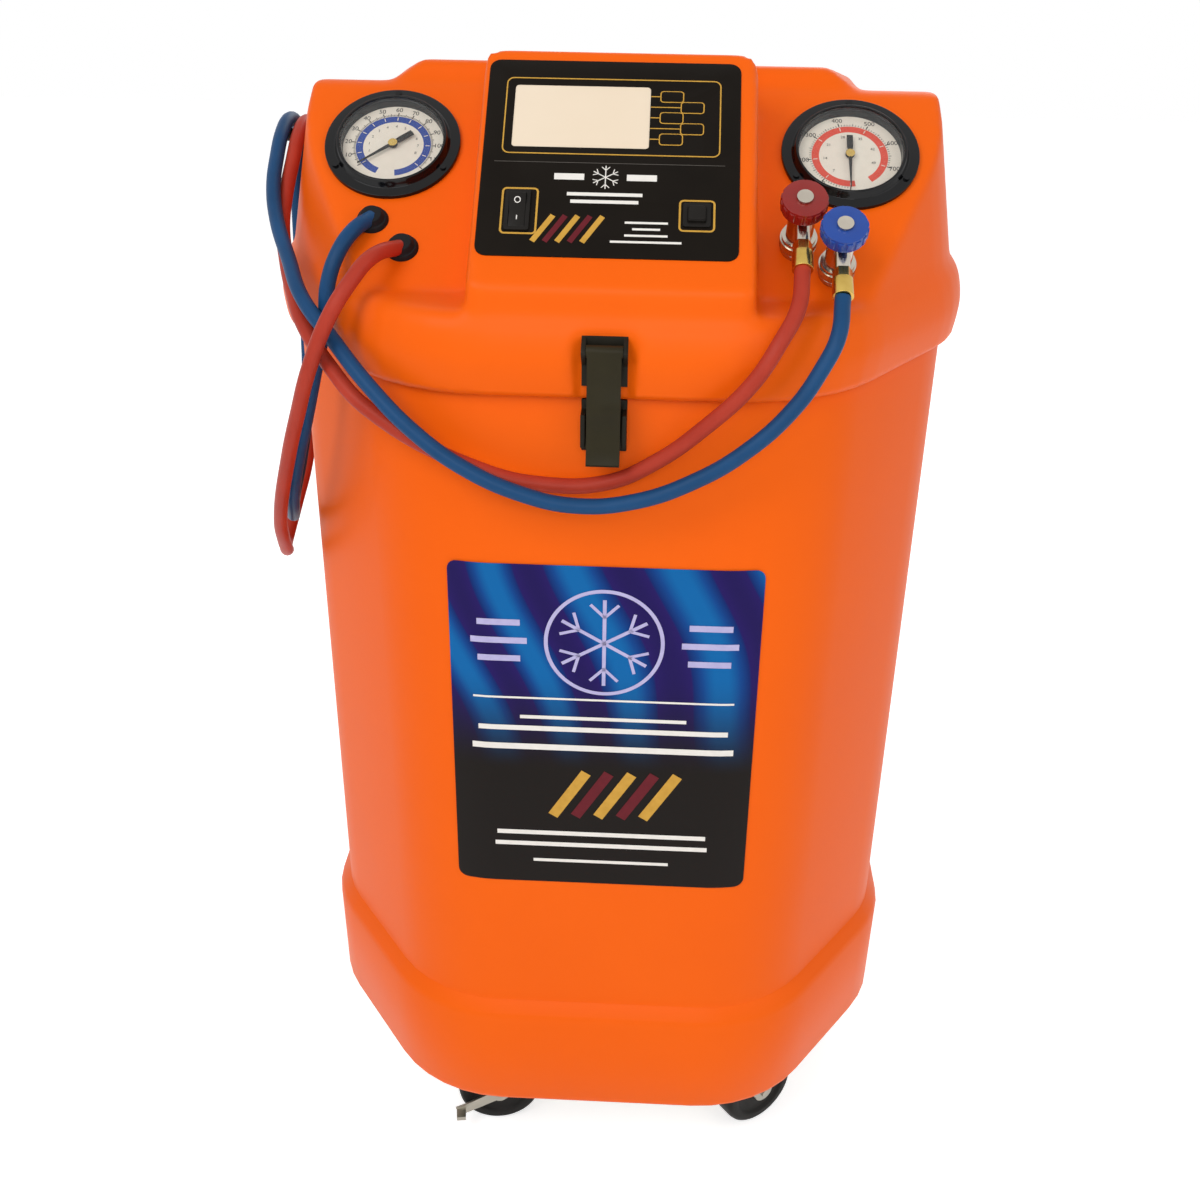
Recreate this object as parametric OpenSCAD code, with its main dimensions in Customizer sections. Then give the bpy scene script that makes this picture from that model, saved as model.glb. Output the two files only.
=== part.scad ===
// Refrigerant recovery machine: a moulded cabinet on casters with a hinged lid, a sloping console,
// two pressure gauges and two service hoses parked on the lid.
// Millimetres. The origin is on the floor under the middle, the front faces -Y, +X is the viewer's right.

/* [Cabinet] */
// Width across the flared skirt
body_w = 610; // [590:1:650]
// Depth across the flared skirt
body_d = 560; // [550:1:620]
// Height of the skirt's lower edge above the floor
skirt_z = 105; // [104:1:110]
// Height of the flared skirt
skirt_h = 119; // [105:1:135]
// Height of the seam between body and lid
seam_z = 878; // [860:1:940]
// Width of the flat front between the corner chamfers
front_flat = 344; // [330:1:370]
// Front-to-back depth of each corner chamfer
chamfer_d = 191; // [180:1:205]
// Rounding of the chamfers' edges
chamfer_r = 140; // [110:1:145]
// Rounding of the rear corners
rear_r = 60; // [45:1:75]
// Wall of the moulded shells
wall = 5; // [4:0.5:6]
// Inset of the body wall from the skirt, at the skirt
skirt_step = 10; // [9:0.5:12]
// Inset of the body wall from the skirt, below the seam
body_inset = 6; // [6:0.5:7]
// Gap between the lid's rim and the neck inside it
lid_gap = 3; // [2.5:0.5:4]
// Height of the neck inside the lid
neck_h = 14; // [10:1:18]

/* [Lid] */
// Height of the rim band above the seam
rim_h = 68; // [64:1:74]
// Bulge of the rim band past the skirt
rim_bulge = 9; // [8:0.5:10]
// Shoulder between the rim band and the upper part
shoulder = 5; // [4:0.5:7]
// Lean of the upper part's side walls in degrees
lid_draft = 10; // [8:0.5:12]
// Slope of the gauge wings in degrees
wing_tilt = 38.5; // [37:0.5:40]
// Distance from the front to the foot of the wings
wing_setback = 60; // [56:1:66]
// Length of the wings up the slope
wing_len = 225; // [218:1:235]
// Fall of the rear deck in degrees
deck_fall = 11; // [9:0.5:12]
// Height of the rear ridge above the deck
ridge_h = 17; // [12:1:22]
// Width of the rear ridge at its foot
ridge_w = 424; // [400:1:440]

/* [Console] */
// Width of the console block
console_w = 228; // [222:1:240]
// Length of the console up the slope
console_len = 234; // [228:1:244]
// Slope of the console in degrees
console_tilt = 41.7; // [40:0.1:43]
// Height of the console's lower edge above the rim band
console_lift = 19.5; // [16:0.5:24]
// Width of the control plate
plate_w = 207; // [200:1:212]
// Length of the control plate up the slope
plate_len = 191; // [186:1:198]
// Distance from the console's lower edge to the control plate
plate_v = 30; // [26:1:36]
// Sideways place of the control plate
plate_x = -4.5; // [-8:0.5:0]
// Thickness of the control plate
plate_t = 3; // [2.5:0.5:4]
// Width of the display window
screen_w = 111; // [100:1:116]
// Height of the display window
screen_h = 61.5; // [56:0.5:64]
// Width of a soft key
key_w = 17; // [14:0.5:18]
// Height of a soft key
key_h = 9.6; // [8:0.2:9.8]
// Travel of a soft key
key_travel = 0.8; // [0.4:0.1:1]
// Width of the power rocker
rocker_w = 13; // [11:0.5:14]
// Length of the power rocker
rocker_len = 30; // [27:0.5:32]
// Tilt of the power rocker each way in degrees
rocker_tilt = 8; // [6:0.5:9]
// Side of the square push button
button_w = 14; // [12:0.5:16]
// Travel of the square push button
button_travel = 2; // [1:0.1:2.5]

/* [Gauges] */
// Sideways distance of the gauges from the middle
gauge_x = 196; // [190:1:200]
// Place of the gauges up the slope
gauge_v = 151; // [146:1:156]
// Diameter of the gauge flange
flange_d = 117; // [112:1:120]
// Diameter of the gauge can
can_d = 92; // [90:1:96]
// Diameter of the visible dial
dial_d = 88; // [84:1:89]
// Depth of the gauge can behind the wing
can_depth = 42; // [36:1:48]

/* [Hoses and couplers] */
// Diameter of a service hose
hose_d = 13; // [12:0.5:14]
// Diameter of a grommet's collar
grommet_d = 28; // [26:1:32]
// Height of the parked couplers' hose stubs above the wing
stub_n = 40; // [38:1:41]
// Distance from a coupler's axis to its hose end
stub_reach = 52; // [50:1:56]
// Diameter of a coupler's lower sleeve
sleeve_d = 28; // [26:1:30]
// Diameter of a coupler's handwheel
handwheel_d = 38; // [34:1:42]
// Thickness of a coupler's handwheel
handwheel_t = 12; // [10:1:14]
// Diameter of the peg that a coupler is parked on
peg_d = 14; // [12:0.5:15]

/* [Latch and hinges] */
// Sideways place of the latch
latch_x = -3; // [-10:1:10]
// Height of the latch pin above the seam
latch_lift = 43; // [40:1:46]
// Width of the latch strap
strap_w = 27; // [24:1:28]
// Length of the latch strap below its pin
strap_len = 82; // [78:1:84]
// Diameter of the latch and hinge pins
pin_d = 5; // [4:0.5:6]
// Reach of the hinge and latch pins past the skirt
pin_reach = 11; // [11:0.5:13]
// Width of a lid hinge
hinge_w = 60; // [50:1:80]
// Sideways distance of the lid hinges from the middle
hinge_x = 150; // [120:1:180]

/* [Casters] */
// Diameter of a caster wheel
wheel_d = 90; // [84:1:94]
// Width of a caster wheel
wheel_w = 30; // [26:1:34]
// Distance from the swivel axis to the axle
trail = 33; // [30:1:35]
// Height from the floor to the top of a caster's plate
caster_h = 118; // [116:1:122]
// Sideways distance of the front casters from the middle
front_caster_x = 145; // [135:1:155]
// Distance of the front casters ahead of the middle
front_caster_y = 200; // [190:1:205]
// Sideways distance of the rear casters from the middle
rear_caster_x = 205; // [190:1:215]
// Distance of the rear casters behind the middle
rear_caster_y = 185; // [175:1:195]
// Diameter of the kingpin and the axle
caster_pin_d = 10; // [8:1:12]

/* [Inside] */
// Thickness of the chassis base plate
base_t = 4; // [3:0.5:6]
// Thickness of the body's floor
floor_t = 6; // [5:0.5:8]
// Diameter of the recovery cylinder
tank_d = 240; // [220:1:250]
// Height of the recovery cylinder's shell
tank_h = 360; // [320:1:400]
// Diameter of the condenser fan
fan_d = 190; // [170:1:200]
// Running clearance of shafts in their bores, each side
run_gap = 0.05; // [0.02:0.01:0.1]
// Clearance between pieces that slide past each other
slide_gap = 0.3; // [0.2:0.05:0.4]

/* [Hidden] */
$fn = 48;
e = 0.01;

// Heights and places that follow from the sizes above
skirt_top = skirt_z + skirt_h;
ledge_z = seam_z + rim_h;
console_z = ledge_z + console_lift;
front_y = -body_d / 2;
rear_y = body_d / 2;
neck_inset = wall + lid_gap;
inner_inset = skirt_step + wall;
base_z = caster_h;
floor_z = base_z + base_t + floor_t;
wing_y = front_y + wing_setback;
band_z = seam_z - 95;
body_draft = atan((skirt_step - body_inset) / (band_z - skirt_top - 9));
pin_r = pin_d / 2;
wing_up = [0, cos(wing_tilt), sin(wing_tilt)];
wing_out = [0, -sin(wing_tilt), cos(wing_tilt)];
wing_origin = [0, wing_y, ledge_z];
screen_x = plate_x - 25.5;
screen_v = plate_v + plate_len - 56;
key_col = [plate_x + 47.5, plate_x + 64.3];
key_pitch = 10.6;
key_v = plate_v + plate_len - 35;
rocker_x = plate_x - 72;
rocker_v = plate_v + 42;
button_x = plate_x + 70;
button_v = plate_v + 41;
blue_grommet = [-205, 70];
red_grommet = [-177, 42];
blue_post = [181, 27];
red_post = [150, 52];
hook_y = 0;
hook_z = ledge_z + 79;

// Points of a rounded corner at p: the path arrives with heading h and turns by t (left is positive)
function corner(p, h, t, r, n) =
    let (s = t > 0 ? r : -r, back = s * tan(t / 2), a = p - back * [cos(h), sin(h)],
         c = a + s * [-sin(h), cos(h)])
    [for (k = [0:n]) c + s * [sin(h + t * k / n), -cos(h + t * k / n)]];

// The cabinet's plan outline, moved in by i: flat front, chamfered front corners, square back
function outline(i) =
    let (turn = atan2(chamfer_d, (body_w - front_flat) / 2), rest = 90 - turn,
         a = front_flat / 2 - i * tan(turn / 2), b = body_w / 2 - i,
         yf = front_y + i, yc = front_y + chamfer_d + i * tan(rest / 2), yr = rear_y - i,
         r = chamfer_r - i, q = rear_r - i)
    concat(corner([a, yf], 0, turn, r, 6), corner([b, yc], turn, rest, r, 4), corner([b, yr], 90, 90, q, 6),
        corner([-b, yr], 180, 90, q, 6), corner([-b, yc], 270, rest, r, 4),
        corner([-a, yf], 360 - turn, turn, r, 6));

// A closed solid through plan outlines, each ring given as [height, inset]
module loft(rings) {
    n = len(outline(0));
    m = len(rings);
    points = [for (ring = rings) for (p = outline(ring[1])) [p[0], p[1], ring[0]]];
    sides = [for (j = [0:m - 2]) for (k = [0:n - 1])
        [j * n + k, (j + 1) * n + k, (j + 1) * n + (k + 1) % n, j * n + (k + 1) % n]];
    bottom = [for (k = [0:n - 1]) k];
    top = [for (k = [0:n - 1]) m * n - 1 - k];
    polyhedron(points, concat([bottom, top], sides), convexity = 6);
}

// A profile given in (y, z) and extruded across x
module across(w) {
    rotate([90, 0, 90]) translate([0, 0, -w / 2]) linear_extrude(w) children();
}

// A rounded rectangle centred on the origin
module rounded(w, h, r) {
    polygon(concat(corner([w / 2, -h / 2], 0, 90, r, 5), corner([w / 2, h / 2], 90, 90, r, 5),
        corner([-w / 2, h / 2], 180, 90, r, 5), corner([-w / 2, -h / 2], 270, 90, r, 5)));
}

// Places on the sloping faces: across, up the slope and out of the face
module on_wing(x, v, n = 0) {
    translate(wing_origin) rotate([wing_tilt, 0, 0]) translate([x, v, n]) children();
}
module on_console(x, v, n = 0) {
    translate([0, front_y, console_z]) rotate([console_tilt, 0, 0]) translate([x, v, n]) children();
}
function wing_point(x, v, n) = wing_origin + [x, 0, 0] + v * wing_up + n * wing_out;

// Cabinet body: one moulded shell with a flared skirt, a floor and a neck for the lid
grille_w = 240;
grille_h = 220;
grille_z = 360;
inlet_x = 205;
inlet_z = 300;
module on_rear_wall(x, z) {
    translate([x, rear_y - body_inset, band_z]) rotate([-body_draft, 0, 0]) translate([0, 0, z - band_z])
        children();
}
module cabinet_body() {
    color("orangered") difference() {
        loft([[skirt_z, 2], [skirt_z + 5, 0], [skirt_top - 8, -2], [skirt_top - 1, 1],
            [skirt_top + 9, skirt_step], [band_z, body_inset], [seam_z - 7, body_inset],
            [seam_z - 1, neck_inset], [seam_z + neck_h, neck_inset]]);
        loft([[floor_z, inner_inset], [seam_z + neck_h + 1, neck_inset + wall]]);
        loft([[skirt_z - 1, wall + 2], [base_z + base_t, wall + 2]]);
        on_rear_wall(0, grille_z) cube([grille_w - 24, 60, grille_h - 24], center = true);
        on_rear_wall(inlet_x, inlet_z) cube([28, 60, 20], center = true);
    }
}

// Chassis plate: folded steel under the floor that the casters bolt to
module base_plate() {
    color("dimgray") loft([[base_z, wall + 4], [base_z + base_t, wall + 4]]);
}

// Lid: rim band, upper part cut by the wing slope and the deck, rear ridge and console block
module rim_band(t) {
    if (t == 0)
        loft([[seam_z, 0], [seam_z + 5, -5], [seam_z + 18, 1.5 - rim_bulge], [seam_z + 32, -rim_bulge],
            [ledge_z - 22, 2 - rim_bulge], [ledge_z - 10, -4], [ledge_z - 4, 0], [ledge_z, shoulder]]);
    else
        loft([[seam_z - 1, t], [ledge_z - t, t + 2]]);
}
function upper_inset(z) = shoulder + (z - ledge_z) * tan(lid_draft);
module upper_part(t) {
    top_z = ledge_z + 200;
    low_z = ledge_z - 30 - t;
    loft([[low_z, upper_inset(low_z) + t], [top_z, upper_inset(top_z) + t]]);
}
crest = [wing_y + wing_len * cos(wing_tilt), ledge_z + wing_len * sin(wing_tilt)];
lid_back = rear_y + 20;
function deck_z(y) = crest[1] - (y - crest[0]) * tan(deck_fall);
module wing_prism(t) {
    turn = wing_tilt + deck_fall;
    mid = (90 + wing_tilt + 90 - deck_fall) / 2;
    shift = -t / cos(turn / 2) * [cos(mid), sin(mid)];
    low = ledge_z - 30 - t;
    foot = [wing_y - 16, ledge_z - 3];
    valley = [wing_y, ledge_z] - 1.3 * [cos(wing_tilt), sin(wing_tilt)];
    profile = concat([[foot[0], low], [lid_back, low], [lid_back, deck_z(lid_back)]],
        corner(crest, 180 - deck_fall, turn, 18, 5),
        corner(valley, 180 + wing_tilt, -wing_tilt, 24, 4), [foot]);
    across(body_w) translate(shift) polygon(profile);
}
module rear_ridge(t) {
    front = crest[0] + 2;
    low = ledge_z + 20;
    face = 55;
    top = [front + ridge_h / tan(face), deck_z(front) + ridge_h];
    profile = concat([[front - 20, low], [lid_back, low], [lid_back, deck_z(lid_back) + ridge_h]],
        corner(top, 180 - deck_fall, face + deck_fall, 8, 4),
        [[front - 20, deck_z(front) - 20 * tan(face)]]);
    half = ridge_w / 2 - t;
    intersection() {
        translate([0, 0, -t]) across(ridge_w) polygon(profile);
        translate([0, lid_back, -t]) rotate([90, 0, 0]) linear_extrude(2 * lid_back)
            polygon([[-half, low], [half, low], [half, crest[1] - 6], [half - 34, crest[1] + ridge_h],
                [34 - half, crest[1] + ridge_h], [-half, crest[1] - 6]]);
    }
}
console_depth = 110;
module console_block(t) {
    half = console_w / 2 - t;
    long = console_len - t;
    foot = ledge_z - 30 - t;
    intersection() {
        on_console(0, 0, -console_depth) linear_extrude(console_depth - t)
            polygon(concat([[-half, -60], [half, -60]], corner([half, long], 90, 90, 16 - t, 5),
                corner([-half, long], 180, 90, 16 - t, 5)));
        translate([0, 0, foot]) linear_extrude(300) polygon(outline(1 + t));
    }
}
module lid_form(t) {
    rim_band(t);
    intersection() {
        upper_part(t);
        union() {
            wing_prism(t);
            rear_ridge(t);
        }
    }
    console_block(t);
}
latch_z = seam_z + latch_lift;
latch_y = front_y - pin_reach;
pocket_y = front_y - 1;
pocket_w = strap_w + 21;
hinge_y = rear_y + pin_reach;
hinge_z = seam_z - 3;
pad_y = rear_y + 3;
leaf_t = 2.5;
module lid_shell() {
    color("orangered") difference() {
        lid_form(0);
        lid_form(wall);
        on_console(plate_x, plate_v + plate_len / 2, 1 - plate_t)
            linear_extrude(plate_t) rounded(plate_w + slide_gap, plate_len + slide_gap, 9);
        on_console(plate_x, plate_v + plate_len / 2, -wall - 4) linear_extrude(wall + 8)
            rounded(plate_w - 22, plate_len - 20, 6);
        for (s = [-1, 1]) on_wing(s * gauge_x, gauge_v, -wall - 8) cylinder(d = can_d + 1, h = wall + 16);
        for (g = [blue_grommet, red_grommet]) on_wing(g[0], g[1], -wall - 8) cylinder(r = 10, h = wall + 16);
        translate([latch_x - pocket_w / 2, pocket_y - 30, seam_z - 1]) cube([pocket_w, 30, latch_lift + 13]);
        for (s = [-1, 1]) translate([s * hinge_x - hinge_w / 2 - 2, pad_y, seam_z - 1])
            cube([hinge_w + 4, 30, rim_h - 10]);
    }
}

// Lid hinges: the body leaf carries the middle knuckle and the pin, the lid leaf the outer two
knuckle_r = pin_r + 2.5;
mid_knuckle = hinge_w / 3;
module hinge_leaf_body() {
    wall_y = rear_y - body_inset;
    color("silver") for (s = [-1, 1]) translate([s * hinge_x, 0, 0]) {
        translate([-hinge_w / 2, wall_y, seam_z - 63]) cube([hinge_w, leaf_t, 51]);
        across(mid_knuckle) polygon([[wall_y, seam_z - 22], [wall_y + leaf_t, seam_z - 22],
            [hinge_y + 3, hinge_z - 3], [hinge_y - 3, hinge_z + 2], [wall_y, seam_z - 12]]);
        translate([-mid_knuckle / 2, hinge_y, hinge_z]) rotate([0, 90, 0])
            cylinder(r = knuckle_r, h = mid_knuckle);
        translate([-hinge_w / 2, hinge_y, hinge_z]) rotate([0, 90, 0]) cylinder(r = pin_r, h = hinge_w);
    }
}
module hinge_leaf_lid() {
    side = (hinge_w - mid_knuckle) / 2 - slide_gap;
    low = seam_z + 6;
    color("silver") for (s = [-1, 1]) translate([s * hinge_x, 0, 0]) difference() {
        union() {
            translate([-hinge_w / 2, pad_y, low]) cube([hinge_w, leaf_t, 46]);
            for (q = [-1, 1]) translate([q * (hinge_w - side) / 2, 0, 0]) {
                across(side) polygon([[pad_y, low + 6], [pad_y, low - 2], [hinge_y - 3, hinge_z - 1],
                    [hinge_y + 2, hinge_z + 4], [pad_y + leaf_t, low + 6]]);
                translate([-side / 2, hinge_y, hinge_z]) rotate([0, 90, 0]) cylinder(r = knuckle_r, h = side);
            }
        }
        translate([-hinge_w, hinge_y, hinge_z]) rotate([0, 90, 0])
            cylinder(r = pin_r + run_gap, h = 2 * hinge_w);
    }
}

// Draw latch: bracket with its pin on the lid, hanging strap, guide on the body
ear_t = 3.5;
strap_t = 4;
barrel_r = pin_r + 2.5;
module latch_bracket() {
    gap = strap_w / 2 + 1 + slide_gap;
    color("black") translate([latch_x, 0, 0]) {
        translate([-gap - ear_t, pocket_y - 2, latch_z - 31]) cube([2 * (gap + ear_t), 2, 41]);
        for (s = [-1, 1]) translate([s * (gap + ear_t / 2), 0, 0]) {
            across(ear_t) polygon([[pocket_y - 2, latch_z - 14], [pocket_y - 2, latch_z + 9],
                [latch_y - 1, latch_z + 5], [latch_y - 5, latch_z], [latch_y - 3, latch_z - 4]]);
        }
        translate([-gap, latch_y, latch_z]) rotate([0, 90, 0]) cylinder(r = pin_r, h = 2 * gap);
    }
}
module latch_strap() {
    front = latch_y - barrel_r;
    back = front + strap_t;
    low = latch_z - strap_len;
    color("black") translate([latch_x, latch_y, latch_z]) difference() {
        translate([0, -latch_y, -latch_z]) union() {
            translate([-strap_w / 2 - 1, latch_y, latch_z]) rotate([0, 90, 0])
                cylinder(r = barrel_r, h = strap_w + 2);
            across(strap_w) polygon([[front, latch_z], [latch_y, latch_z - barrel_r + 1],
                [back, latch_z - 12], [back, low - 3],
                [front + 1, low - 9], [front - 4, low - 11], [front - 5, low - 9],
                [front - 1, low], [front - 1.2, low + 4], [front, low + 8], [front, low + 26],
                [front - 1.5, low + 29], [front - 1.5, low + 41], [front, low + 45]]);
        }
        rotate([0, 90, 0]) cylinder(r = pin_r + run_gap, h = 2 * strap_w, center = true);
    }
}
module latch_keeper() {
    low = latch_z - strap_len - 6;
    face = front_y + body_inset;
    reach = face - (latch_y - barrel_r + strap_t) - 1;
    cheek = strap_w / 2 + 1;
    color("black") translate([latch_x, 0, 0]) {
        translate([-cheek - 4, face - 3, low]) cube([2 * cheek + 8, 3, 44]);
        translate([-9, face - reach, low + 18]) cube([18, reach, 10]);
        for (s = [-1, 1]) translate([s * (cheek + 2) - 2, face - reach - 2, low + 8])
            cube([4, reach + 2, 28]);
    }
}

// Console plate with windows for the display, keys and switches
rocker_frame = [rocker_w + 3, rocker_len + 4];
button_frame = button_w + 4;
module key_place(k) {
    on_console(key_col[k % 2], key_v - k * key_pitch) children();
}
module console_plate() {
    color("black") difference() {
        on_console(plate_x, plate_v + plate_len / 2, 1 - plate_t) linear_extrude(plate_t)
            rounded(plate_w, plate_len, 9);
        on_console(screen_x, screen_v, -10) linear_extrude(20)
            rounded(screen_w + slide_gap, screen_h + slide_gap, 3);
        for (k = [0:4]) key_place(k) translate([0, 0, -10]) linear_extrude(20)
            rounded(key_w + 2 * slide_gap, key_h + 2 * slide_gap, 2.5);
        on_console(rocker_x, rocker_v) cube([rocker_frame[0] + slide_gap, rocker_frame[1] + slide_gap, 20],
            center = true);
        on_console(button_x, button_v) cube([button_frame + slide_gap, button_frame + slide_gap, 20],
            center = true);
    }
}
module display_screen() {
    color("cornsilk") on_console(screen_x, screen_v) {
        translate([0, 0, 1 - plate_t - 8]) linear_extrude(8) rounded(screen_w + 6, screen_h + 6, 3);
        translate([0, 0, 1 - plate_t - e]) linear_extrude(plate_t - 0.6) rounded(screen_w, screen_h, 3);
    }
}
board_n = -24;
board_t = 1.6;
module control_board() {
    color("darkgreen") on_console(plate_x, plate_v + plate_len / 2) {
        translate([0, 0, board_n]) linear_extrude(board_t) rounded(plate_w - 32, plate_len - 24, 3);
        for (x = [-1, 1]) for (v = [-1, 1])
            translate([x * (plate_w / 2 - 21), v * (plate_len / 2 - 16), board_n + board_t])
                cylinder(r = 3, h = 1 - plate_t - board_n - board_t);
    }
}
module soft_key(k) {
    stem_n = board_n + board_t + key_travel + slide_gap;
    color("dimgray") key_place(k) {
        translate([0, 0, stem_n]) cylinder(r = 2, h = -3 - stem_n);
        translate([0, 0, -4]) linear_extrude(5.6) rounded(key_w, key_h, 2.2);
        translate([0, 0, 1 - plate_t - slide_gap - 1.5]) linear_extrude(1.5)
            rounded(key_w + 2, key_h - e, 2.2);
    }
}

// Power rocker in its snap-in bezel
pivot_n = -1;
module rocker_bezel() {
    on_console(rocker_x, rocker_v) difference() {
        union() {
            translate([0, 0, 1]) linear_extrude(2) rounded(rocker_frame[0] + 4, rocker_frame[1] + 4, 2);
            translate([0, 0, -12]) linear_extrude(13) square(rocker_frame, center = true);
        }
        translate([0, 0, -9]) linear_extrude(20)
            square([rocker_w + 2 * slide_gap, rocker_len + 5 * slide_gap], center = true);
        translate([0, 0, pivot_n]) rotate([0, 90, 0])
            cylinder(r = 1.5 + run_gap, h = rocker_w + 2 * slide_gap + 1.6, center = true);
    }
}
module button_bezel() {
    on_console(button_x, button_v) difference() {
        union() {
            translate([0, 0, 1]) linear_extrude(1.6) rounded(button_frame + 4, button_frame + 4, 2);
            translate([0, 0, -12]) linear_extrude(13) square(button_frame, center = true);
        }
        translate([0, 0, -9]) linear_extrude(20) square(button_w + 2 * slide_gap, center = true);
    }
}
module switch_bezels() {
    color("black") {
        rocker_bezel();
        button_bezel();
    }
}
module power_rocker() {
    half = rocker_len / 2;
    color("dimgray") on_console(rocker_x, rocker_v, pivot_n) rotate([rocker_tilt, 0, 0]) {
        across(rocker_w) polygon([[-half, -3.6], [half, -3.6], [half, 5], [half - 1, 5.4], [0, 3],
            [1 - half, 5.4], [-half, 5]]);
        rotate([0, 90, 0]) cylinder(r = 1.5, h = rocker_w + 2 * slide_gap + 1.2, center = true);
    }
}
module push_button() {
    color("dimgray") on_console(button_x, button_v, -9 + button_travel + 1) {
        linear_extrude(11) square(button_w, center = true);
        translate([0, 0, 11]) linear_extrude(1) rounded(button_w - 1, button_w - 1, 2);
    }
}

// Flanged panel gauges: can through the wing, dial, needle on its shaft, lens in a rebate
flange_t = 4;
dial_n = -2;
lens_n = 7;
lip_n = 10;
shaft_r = 1.5;
screw_r = flange_d / 2 - 5;
module gauge_case(s) {
    color("dimgray") on_wing(s * gauge_x, gauge_v) difference() {
        union() {
            translate([0, 0, -can_depth]) cylinder(d = can_d, h = can_depth + 1);
            cylinder(d = flange_d, h = flange_t, $fn = 72);
            cylinder(d1 = dial_d + 16, d2 = dial_d + 6, h = lip_n, $fn = 72);
        }
        translate([0, 0, dial_n]) cylinder(d = dial_d, h = 20, $fn = 72);
        translate([0, 0, lens_n]) cylinder(d = dial_d + 2, h = 20, $fn = 72);
        translate([0, 0, dial_n - 12]) cylinder(r = shaft_r + run_gap, h = 20);
    }
}
module gauge_dial(s) {
    color("ivory") on_wing(s * gauge_x, gauge_v, dial_n) difference() {
        cylinder(d = dial_d - 2 * slide_gap, h = 1, $fn = 72);
        translate([0, 0, -1]) cylinder(r = shaft_r + 2 * slide_gap, h = 4);
    }
}
module gauge_lenses() {
    color([0.9, 0.95, 1, 0.4]) for (s = [-1, 1]) on_wing(s * gauge_x, gauge_v, lens_n)
        cylinder(d = dial_d + 2 - slide_gap, h = 2, $fn = 72);
}
// The pointer's rest angle is counted clockwise from straight up the slope
module gauge_needle(s, rest) {
    tip = dial_d / 2 - 8;
    color("black") on_wing(s * gauge_x, gauge_v, dial_n) rotate([0, 0, -rest]) {
        translate([0, 0, -11]) cylinder(r = shaft_r, h = 15);
        translate([0, 0, 3]) cylinder(r = 4, h = 3);
        translate([0, 0, 4]) linear_extrude(1)
            polygon([[-1.6, 0], [-2.6, -8], [-2.6, -20], [2.6, -20], [2.6, -8], [1.6, 0], [0.4, tip],
                [-0.4, tip]]);
    }
}
module gauge_screws() {
    color("silver") for (s = [-1, 1]) for (a = [90, 210, 330])
        on_wing(s * gauge_x, gauge_v, flange_t) rotate([0, 0, a]) translate([screw_r, 0, 0])
            cylinder(r = 2.6, h = 1.8);
}

// Hose outlets, hook and parking posts
module hose_grommets() {
    color("black") for (g = [blue_grommet, red_grommet]) on_wing(g[0], g[1]) {
        cylinder(d1 = grommet_d, d2 = grommet_d - 4, h = 4);
        translate([0, 0, 4]) cylinder(d1 = grommet_d - 6, d2 = hose_d + 4, h = 5);
        translate([0, 0, -wall - 1]) cylinder(r = 10 - slide_gap / 2, h = wall + 1);
        translate([0, 0, -wall - 3]) cylinder(d = grommet_d - 2, h = 2.6);
    }
}
hook_peg = 34;
module hose_hook() {
    foot_x = upper_inset(hook_z) - body_w / 2;
    color("black") translate([foot_x, hook_y, hook_z]) rotate([0, lid_draft - 90, 0]) {
        cylinder(r = 14, h = 3);
        cylinder(r = 6, h = hook_peg);
        translate([0, 0, hook_peg]) cylinder(r = 10, h = 3);
    }
}
module coupler_posts() {
    color("dimgray") for (p = [blue_post, red_post]) on_wing(p[0], p[1]) {
        cylinder(d = sleeve_d, h = 3);
        cylinder(d = peg_d, h = 21);
    }
}

// Quick couplers: body over the post, side stub to the hose, spindle for the handwheel
wheel_n = 51;
neck_n = 47;
module coupler(p) {
    color("silver") on_wing(p[0], p[1]) difference() {
        union() {
            translate([0, 0, 3]) cylinder(d = sleeve_d, h = 15);
            translate([0, 0, 18]) cylinder(d = sleeve_d - 6, h = neck_n - 18);
            translate([0, 0, neck_n]) cylinder(d = 14, h = wheel_n - neck_n - slide_gap);
            translate([0, 0, neck_n]) cylinder(r = 4, h = wheel_n + handwheel_t + slide_gap + 2 - neck_n);
            translate([0, 0, wheel_n + handwheel_t + slide_gap]) cylinder(r = 6.5, h = 2);
            translate([0, 0, stub_n]) rotate([90, 0, 0]) cylinder(r = 6.5, h = stub_reach - 25);
        }
        translate([0, 0, -1]) cylinder(d = peg_d + 2 * slide_gap, h = 23);
    }
}
module handwheel(p) {
    color(p == red_post ? "crimson" : "royalblue") on_wing(p[0], p[1], wheel_n) difference() {
        union() {
            cylinder(d = handwheel_d - 2, h = handwheel_t);
            translate([0, 0, 2]) cylinder(d = handwheel_d, h = handwheel_t - 4);
        }
        translate([0, 0, -1]) cylinder(r = 4 + run_gap, h = handwheel_t + 2);
        for (a = [0:22.5:337.5]) rotate([0, 0, a]) translate([handwheel_d / 2 + 0.8, 0, -1])
            cylinder(r = 2, h = handwheel_t + 2, $fn = 16);
    }
}
module hose_ferrules() {
    color("goldenrod") for (p = [blue_post, red_post]) on_wing(p[0], p[1] - stub_reach + 25, stub_n)
        rotate([90, 0, 0]) {
            cylinder(r = 8, h = 9, $fn = 6);
            translate([0, 0, 9]) cylinder(d = hose_d + 4, h = 16);
        }
}

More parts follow.
